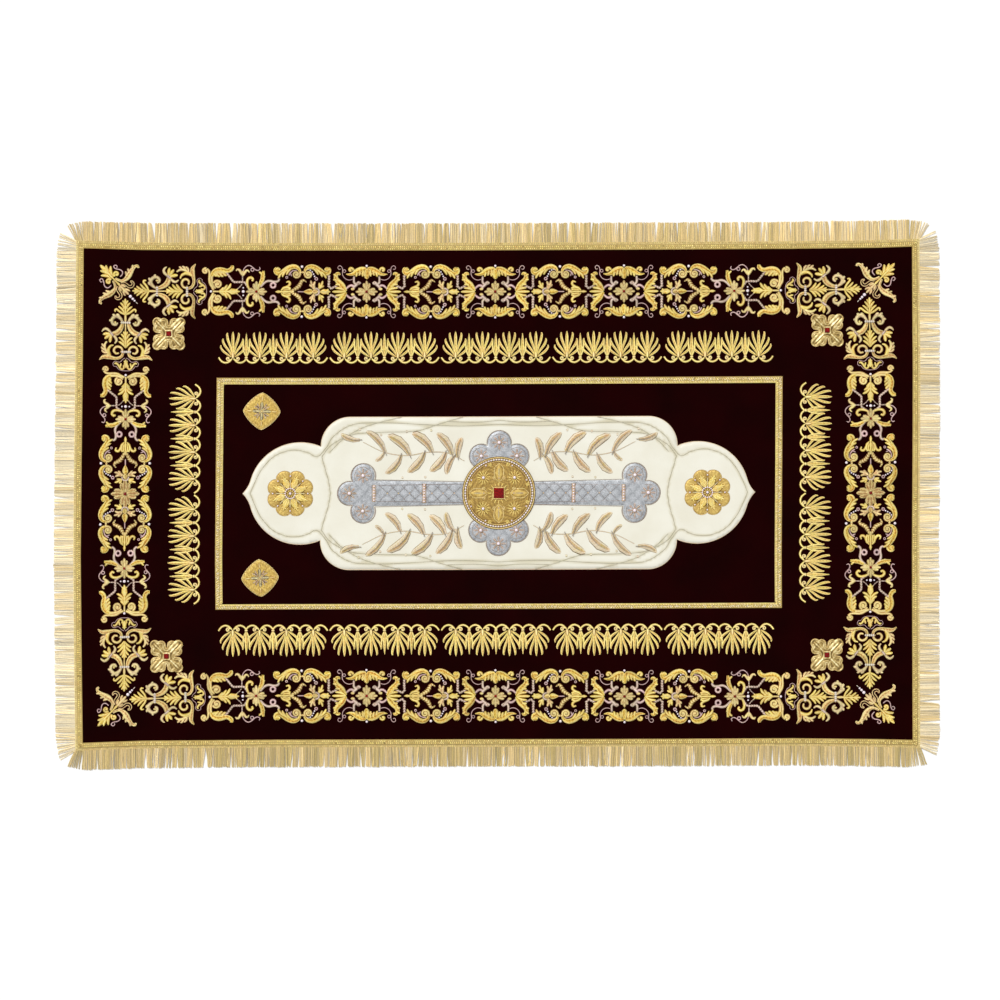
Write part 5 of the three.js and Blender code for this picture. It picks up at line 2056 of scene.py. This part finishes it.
def floret(reach, petals, width, lift, eye):
    leaf = feather("gold", (eye * 0.62, 0), (reach, 0), width, 0.05, lift)
    return spun(leaf, petals, 7) + pearl((0, 0), eye, lift=lift + 0.5)


def medallion_work():
    rim = arc((0, 0), 63.8, 0, 360, 61)
    made = cord_round(rim[:-1], "khaki", 2.6, MEDALLION_TOP - 0.6)
    made += cord_round(rim[:-1] * 0.89, "deep gold", 2.2, MEDALLION_TOP - 0.5)
    made += cord_round(rim[:-1] * 0.945, "grey", 4.0, MEDALLION_TOP - 0.9)
    made += spun(pearl((60.2, 0), 3.3, lift=MEDALLION_TOP - 0.2), 80)
    for step in range(4):
        to = placed(np.array([39.5, 0]), turn=45 + 90 * step)
        made += moved(floret(13.2, 13, 2.7, MEDALLION_TOP - 0.2, 5.6), to)
        edge = [[53.5, 0, 1.3], [44, 8.2, 1.5], [27, 6.6, 1.5], [20.5, 0, 1.3]]
        shield = both_ways(flow("cream gold", edge, MEDALLION_TOP - 0.4))
        shield += feather("silver", (30, 0), (45, 0), 3.2, 0, MEDALLION_TOP)
        shield += boss("lilac", (27, 0), 1.6, MEDALLION_TOP)
        made += moved(shield, turn=90 * step)
        for hand in (-1, 1):
            low = MEDALLION_TOP - 0.3
            curl = volute("gold", (51.6, 15.4 * hand), 3.6, 1.3, 40 * hand, hand, 1.7, low)
            curl += volute("pale gold", (27.6, 8.4 * hand), 3.2, 1.2, 200 * hand, -hand, 1.6, low)
            curl += pearl((49.4, 23.6 * hand), 2.9, lift=MEDALLION_TOP)
            made += moved(curl, turn=90 * step)
    return made + spun(feather("gold", (12.6, 0), (19.6, 0), 3.4, 0, MEDALLION_TOP - 0.2), 16)


def stone_collar(half, width, lift, tint):
    """A raised band round a square stone."""
    corners = np.array([(-1, -1), (1, -1), (1, 1), (-1, 1), (-1, -1)]) * (half + width * 0.35)
    made = [stitch(tint, np.column_stack([corners, np.full(5, width)]), lift)]
    for x, y in corners[:4]:
        made += boss(tint, (x, y), width * 0.5, lift + 0.6)
    return made


disc = arc((0, 0), MEDALLION_RADIUS, 0, 360, 97)[:-1]
collar = stone_collar(CENTRE_STONE_HALF, 3.4, MEDALLION_TOP, "cream gold")
collar += stone_collar(CENTRE_STONE_HALF, 2.0, MEDALLION_TOP + 0.9, "bright gold")
MEDALLION_WORK = moved(medallion_work() + collar, FRAME_MIDDLE)
padded("medallion_relief", "gold_brocade", "centre_medallion", (disc, 1.7, halo_gold, 3.0, FRAME_MIDDLE, 0),
       medallion_height, but_for(MEDALLION_WORK, "pearl"), metal_work)


def rosette_reach(angle):
    return ROSETTE_RADIUS * (1 - PETAL_DEPTH + PETAL_DEPTH * abs(math.sin(4 * angle)) ** 0.7)


def rosette_height(points, distance):
    far = np.hypot(*points.T)
    turn = np.arctan2(points[:, 1], points[:, 0])
    petal_rise = np.abs(np.sin(4 * turn)) ** 0.5
    veins = 0.5 + 0.5 * np.cos(turn * 40)
    relief = petal_rise * (0.65 + 0.35 * veins) * np.clip(far / 16, 0, 1)
    edge = np.clip(distance / 2.5, 0, 1) ** 0.5
    # the second value paints the raised petals lighter and the dips darker, a painted highlight and shade
    return SATIN_TOP + edge * (0.7 + 1.2 * relief), 0.15 + 0.75 * relief * edge


ROSETTE_OUTLINE = around(rosette_reach, 96)


def rosette_work():
    lift = SATIN_TOP + 1.0
    made = cord_round(ROSETTE_OUTLINE * 0.975, "deep gold", 2.0, SATIN_TOP + 0.4)
    made += cord_round(ROSETTE_OUTLINE * 0.905, "pale gold", 1.3, SATIN_TOP + 1.2)
    for step in range(8):
        made += moved(petal("gold", (9, 0), (34.5, 0), 13.6, lift + 0.7), turn=45 * step + 22.5)
        made += moved(feather("silver", (9, 0), (27, 0), 3.6, 0, lift + 0.8), turn=45 * step)
        made += moved(pearl((31.4, 0), 3.0, lift=lift + 0.8), turn=45 * step)
    made += spun(pearl((9.2, 0), 3.0, lift=lift + 1.0), 16)
    made += cord_round(arc((0, 0), 9.2, 0, 360, 25)[:-1], "khaki", 4.2, lift)
    return made + floret(7.2, 9, 3.0, lift + 0.6, 5.0)


ROSETTE_WORK = {}
for side, hand in (("left", -1), ("right", 1)):
    centre = FRAME_MIDDLE + (hand * ROSETTE_REACH, 0)
    ROSETTE_WORK[side] = moved(rosette_work(), centre)
    padded("rosette_relief_" + side, "gold_brocade", "rosette_" + side,
           (ROSETTE_OUTLINE, 2.0, halo_gold, SATIN_TOP - 0.3, centre, 0),
           rosette_height, but_for(ROSETTE_WORK[side], "pearl"), metal_work)

# %% [markdown]
# Leaf sprays in tan silk fill the satin between the arms of the cross, shaded from cream to brown
# as silk embroidery is. One spray is drawn, and it is mirrored into all four quarters.

# %% Silk sprays and satin lines
def silk_leaf(base, tip, width, bend):
    """A broad leaf with a brown outline under it and a brown midrib."""
    rib = bowed(base, tip, bend, ((-0.1, 1.5), (0.25, 1.3), (0.55, 1.0), (0.85, 0.6)))
    made = feather("brown", base, tip, width * 1.12, bend, -0.7) + feather("skin", base, tip, width, bend, 0)
    return made + [stitch("brown", rib, 0.16 * width)]


def spray():
    """The far right quarter's spray, from near the medallion to the satin's corner."""
    made = flow("brown", [
        [62, 58, 1.6], [90, 72, 2.6], [126, 74, 2.8], [166, 68, 2.6], [206, 74, 2.4], [244, 92, 1.8],
        [262, 100, 1.2]])
    made += flow("skin", [
        [62, 58, 1], [90, 72, 1.6], [126, 74, 1.8], [166, 68, 1.6], [206, 74, 1.4], [244, 92, 1]], 0.5)
    made += silk_leaf((84, 70), (112, 108), 17, 0.1) + silk_leaf((96, 73), (124, 40), 17, -0.1)
    made += silk_leaf((120, 75), (156, 108), 18, 0.12) + silk_leaf((134, 73), (164, 38), 17, -0.1)
    made += silk_leaf((160, 69), (200, 104), 18, 0.12) + silk_leaf((176, 68), (204, 36), 15, -0.12)
    made += silk_leaf((204, 74), (238, 112), 14, 0.1) + silk_leaf((206, 73), (222, 58), 9, -0.1)
    made += silk_leaf((74, 64), (66, 100), 15, -0.1) + silk_leaf((80, 68), (94, 34), 14, 0.1)
    made += silk_leaf((250, 96), (284, 108), 12, -0.12)
    for x, y in ((118, 108), (162, 106), (208, 100), (128, 34), (169, 33), (246, 110)):
        made += boss("light skin", (x + 4, y + 5 * np.sign(y - 70)), 2.3, 0.2)
    return made


silk_lines = moved(shaded(four_ways(spray()), 0.05), FRAME_MIDDLE)
sprays = worked("silk_sprays", silk_lines, silk_work, base=SATIN_TOP + 0.05, Dome_Height=0.2)
sewn_on(sprays, "tan_thread")

couched = []
for line in FOLDS:
    rows = np.column_stack([line, np.full(len(line), 1.1)])
    couched.append(stitch("line", rows, SATIN_TOP + 0.05))
couched += cord_round(SATIN * (0.998, 0.995), "pink gold", 1.8, 0.5)
satin_lines = worked("satin_lines", moved(couched, FRAME_MIDDLE), silk_work, base=0.0, Plain_Points=4)
sewn_on(satin_lines, "tan_thread")

centre_work = CROSS_WORK + MEDALLION_WORK + ROSETTE_WORK["left"] + ROSETTE_WORK["right"]
raised_pearls = of_tint(centre_work, "pearl")
rows = np.array([[*one["path"][0], one["lift"]] for one in raised_pearls])
heights = rows[:, 3] + 0.5 * rows[:, 2]
wire = wire_object("centre_pearls", in_place(rows[:, :2], heights), [], {"half_width": rows[:, 2] * MM})
sewn_on(grown(wire, bead_tree, Material=pearl_material, Segments=8, Rings=5), "pearl")

# %% [markdown]
# Gold friezes run round the centre between the border and the frame. They stand in groups of four
# palmettes, each spread from a curled base, with a slim bud between two of them. They are couched
# over card, so their faces are ridged and their edges are crisp.

# %% Friezes
FRIEZES = {
    # quarter turns, middle of the run along the edge, its distance out, groups, and their pitch
    "far": (0, -3.5, 264.6, 5, 200),
    "near": (2, 1.5, 261, 5, 200),
    "left": (1, 2, 560, 2, 199),
    "right": (-1, -2, 571, 2, 199),
}
FANS = 4
FAN_PITCH = 48.128


def fan():
    """A palmette of seven ridged lobes that spread from a small base, with its tip outwards."""
    made = flow("bright gold", [[0, -10, 3], [0, 4, 5.4], [0, 20, 6], [0, 29.4, 1.4]], 0.5, True, step=6.0)
    side = flow("bright gold", [
        [1.6, -11, 2.6], [4.4, 2, 4.6], [8.8, 14, 5.4], [10.6, 24.4, 4],
        [9.4, 27.4, 1.6]], 0.3, True, step=6.0)
    side += flow("bright gold", [
        [2.6, -13, 2.4], [8, -4, 4.4], [14.6, 4.6, 5.2], [18.2, 13, 4.2],
        [17.4, 17, 1.6]], 0.2, True, step=6.0)
    side += flow("bright gold", [
        [3, -16, 2.2], [10, -11.4, 4.2], [17, -6, 4.8], [21.8, 1, 3.8],
        [21.4, 5.4, 1.6]], 0.1, True, step=6.0)
    made += side + moved(side, flip_x=True)
    return made + feather("cream gold", (0, -8), (0, -19), 6.4, 0, 1.2)


def link():
    """The curled base that carries a palmette and joins it to the next one."""
    side = flow("bright gold", [
        [1.4, -19, 3.4], [6.6, -24.6, 4.4], [13.6, -26.6, 4.6], [20.6, -23.6, 4.4],
        [25.6, -17, 4]], 0.1, step=6.0)
    side += volute("cream gold", (8.6, -18.8), 4.4, 1.2, 200, 1, 2.4, 0.4)
    return side + moved(side, flip_x=True)


def bud():
    """A slim closed bud between two palmettes."""
    made = flow("bright gold", [[0, -14, 2.6], [0, -4, 5.6], [0, 10, 5.8], [0, 26, 1.2]], 0.4, True, step=6.0)
    side = flow("bright gold", [[1, -15, 2.2], [4.4, -6, 3.8], [5.6, 4, 3.8], [4.6, 13, 1.6]], 0.2, step=6.0)
    return made + side + moved(side, flip_x=True) + boss("cream gold", (0, -17.4), 2.8, 0.6)


frieze_work = laid_thread_material("couched_gold", 0.5, 0.0, *GOLD, 0.4, 0.06, Metallic=0.35, Roughness=0.4)
for side, (turns, middle, out, groups, pitch) in FRIEZES.items():
    made = []
    for number in range(groups):
        centre = middle + (number - (groups - 1) / 2) * pitch
        for step in range(FANS):
            place = centre + (step - (FANS - 1) / 2) * FAN_PITCH
            made += moved(fan() + link(), (place, out))
            if step < FANS - 1:
                made += moved(bud(), (place + FAN_PITCH / 2, out))
    for one in made:
        one["path"] = np.column_stack([on_edge(turns, *one["path"][:, :2].T), one["path"][:, 2]])
    sewn_on(worked("frieze_" + side, shaded(made, 0.05), frieze_work,
                   Plain_Points=4, Ridged_Points=7, Dome_Height=0.5), "gold_thread")

# %% Sizes and finish
print("in all", sum(triangle_counts.values()), "triangles")
low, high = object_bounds()
print("the finished model measures", [round(side / MM, 1) for side in high - low], "mm")
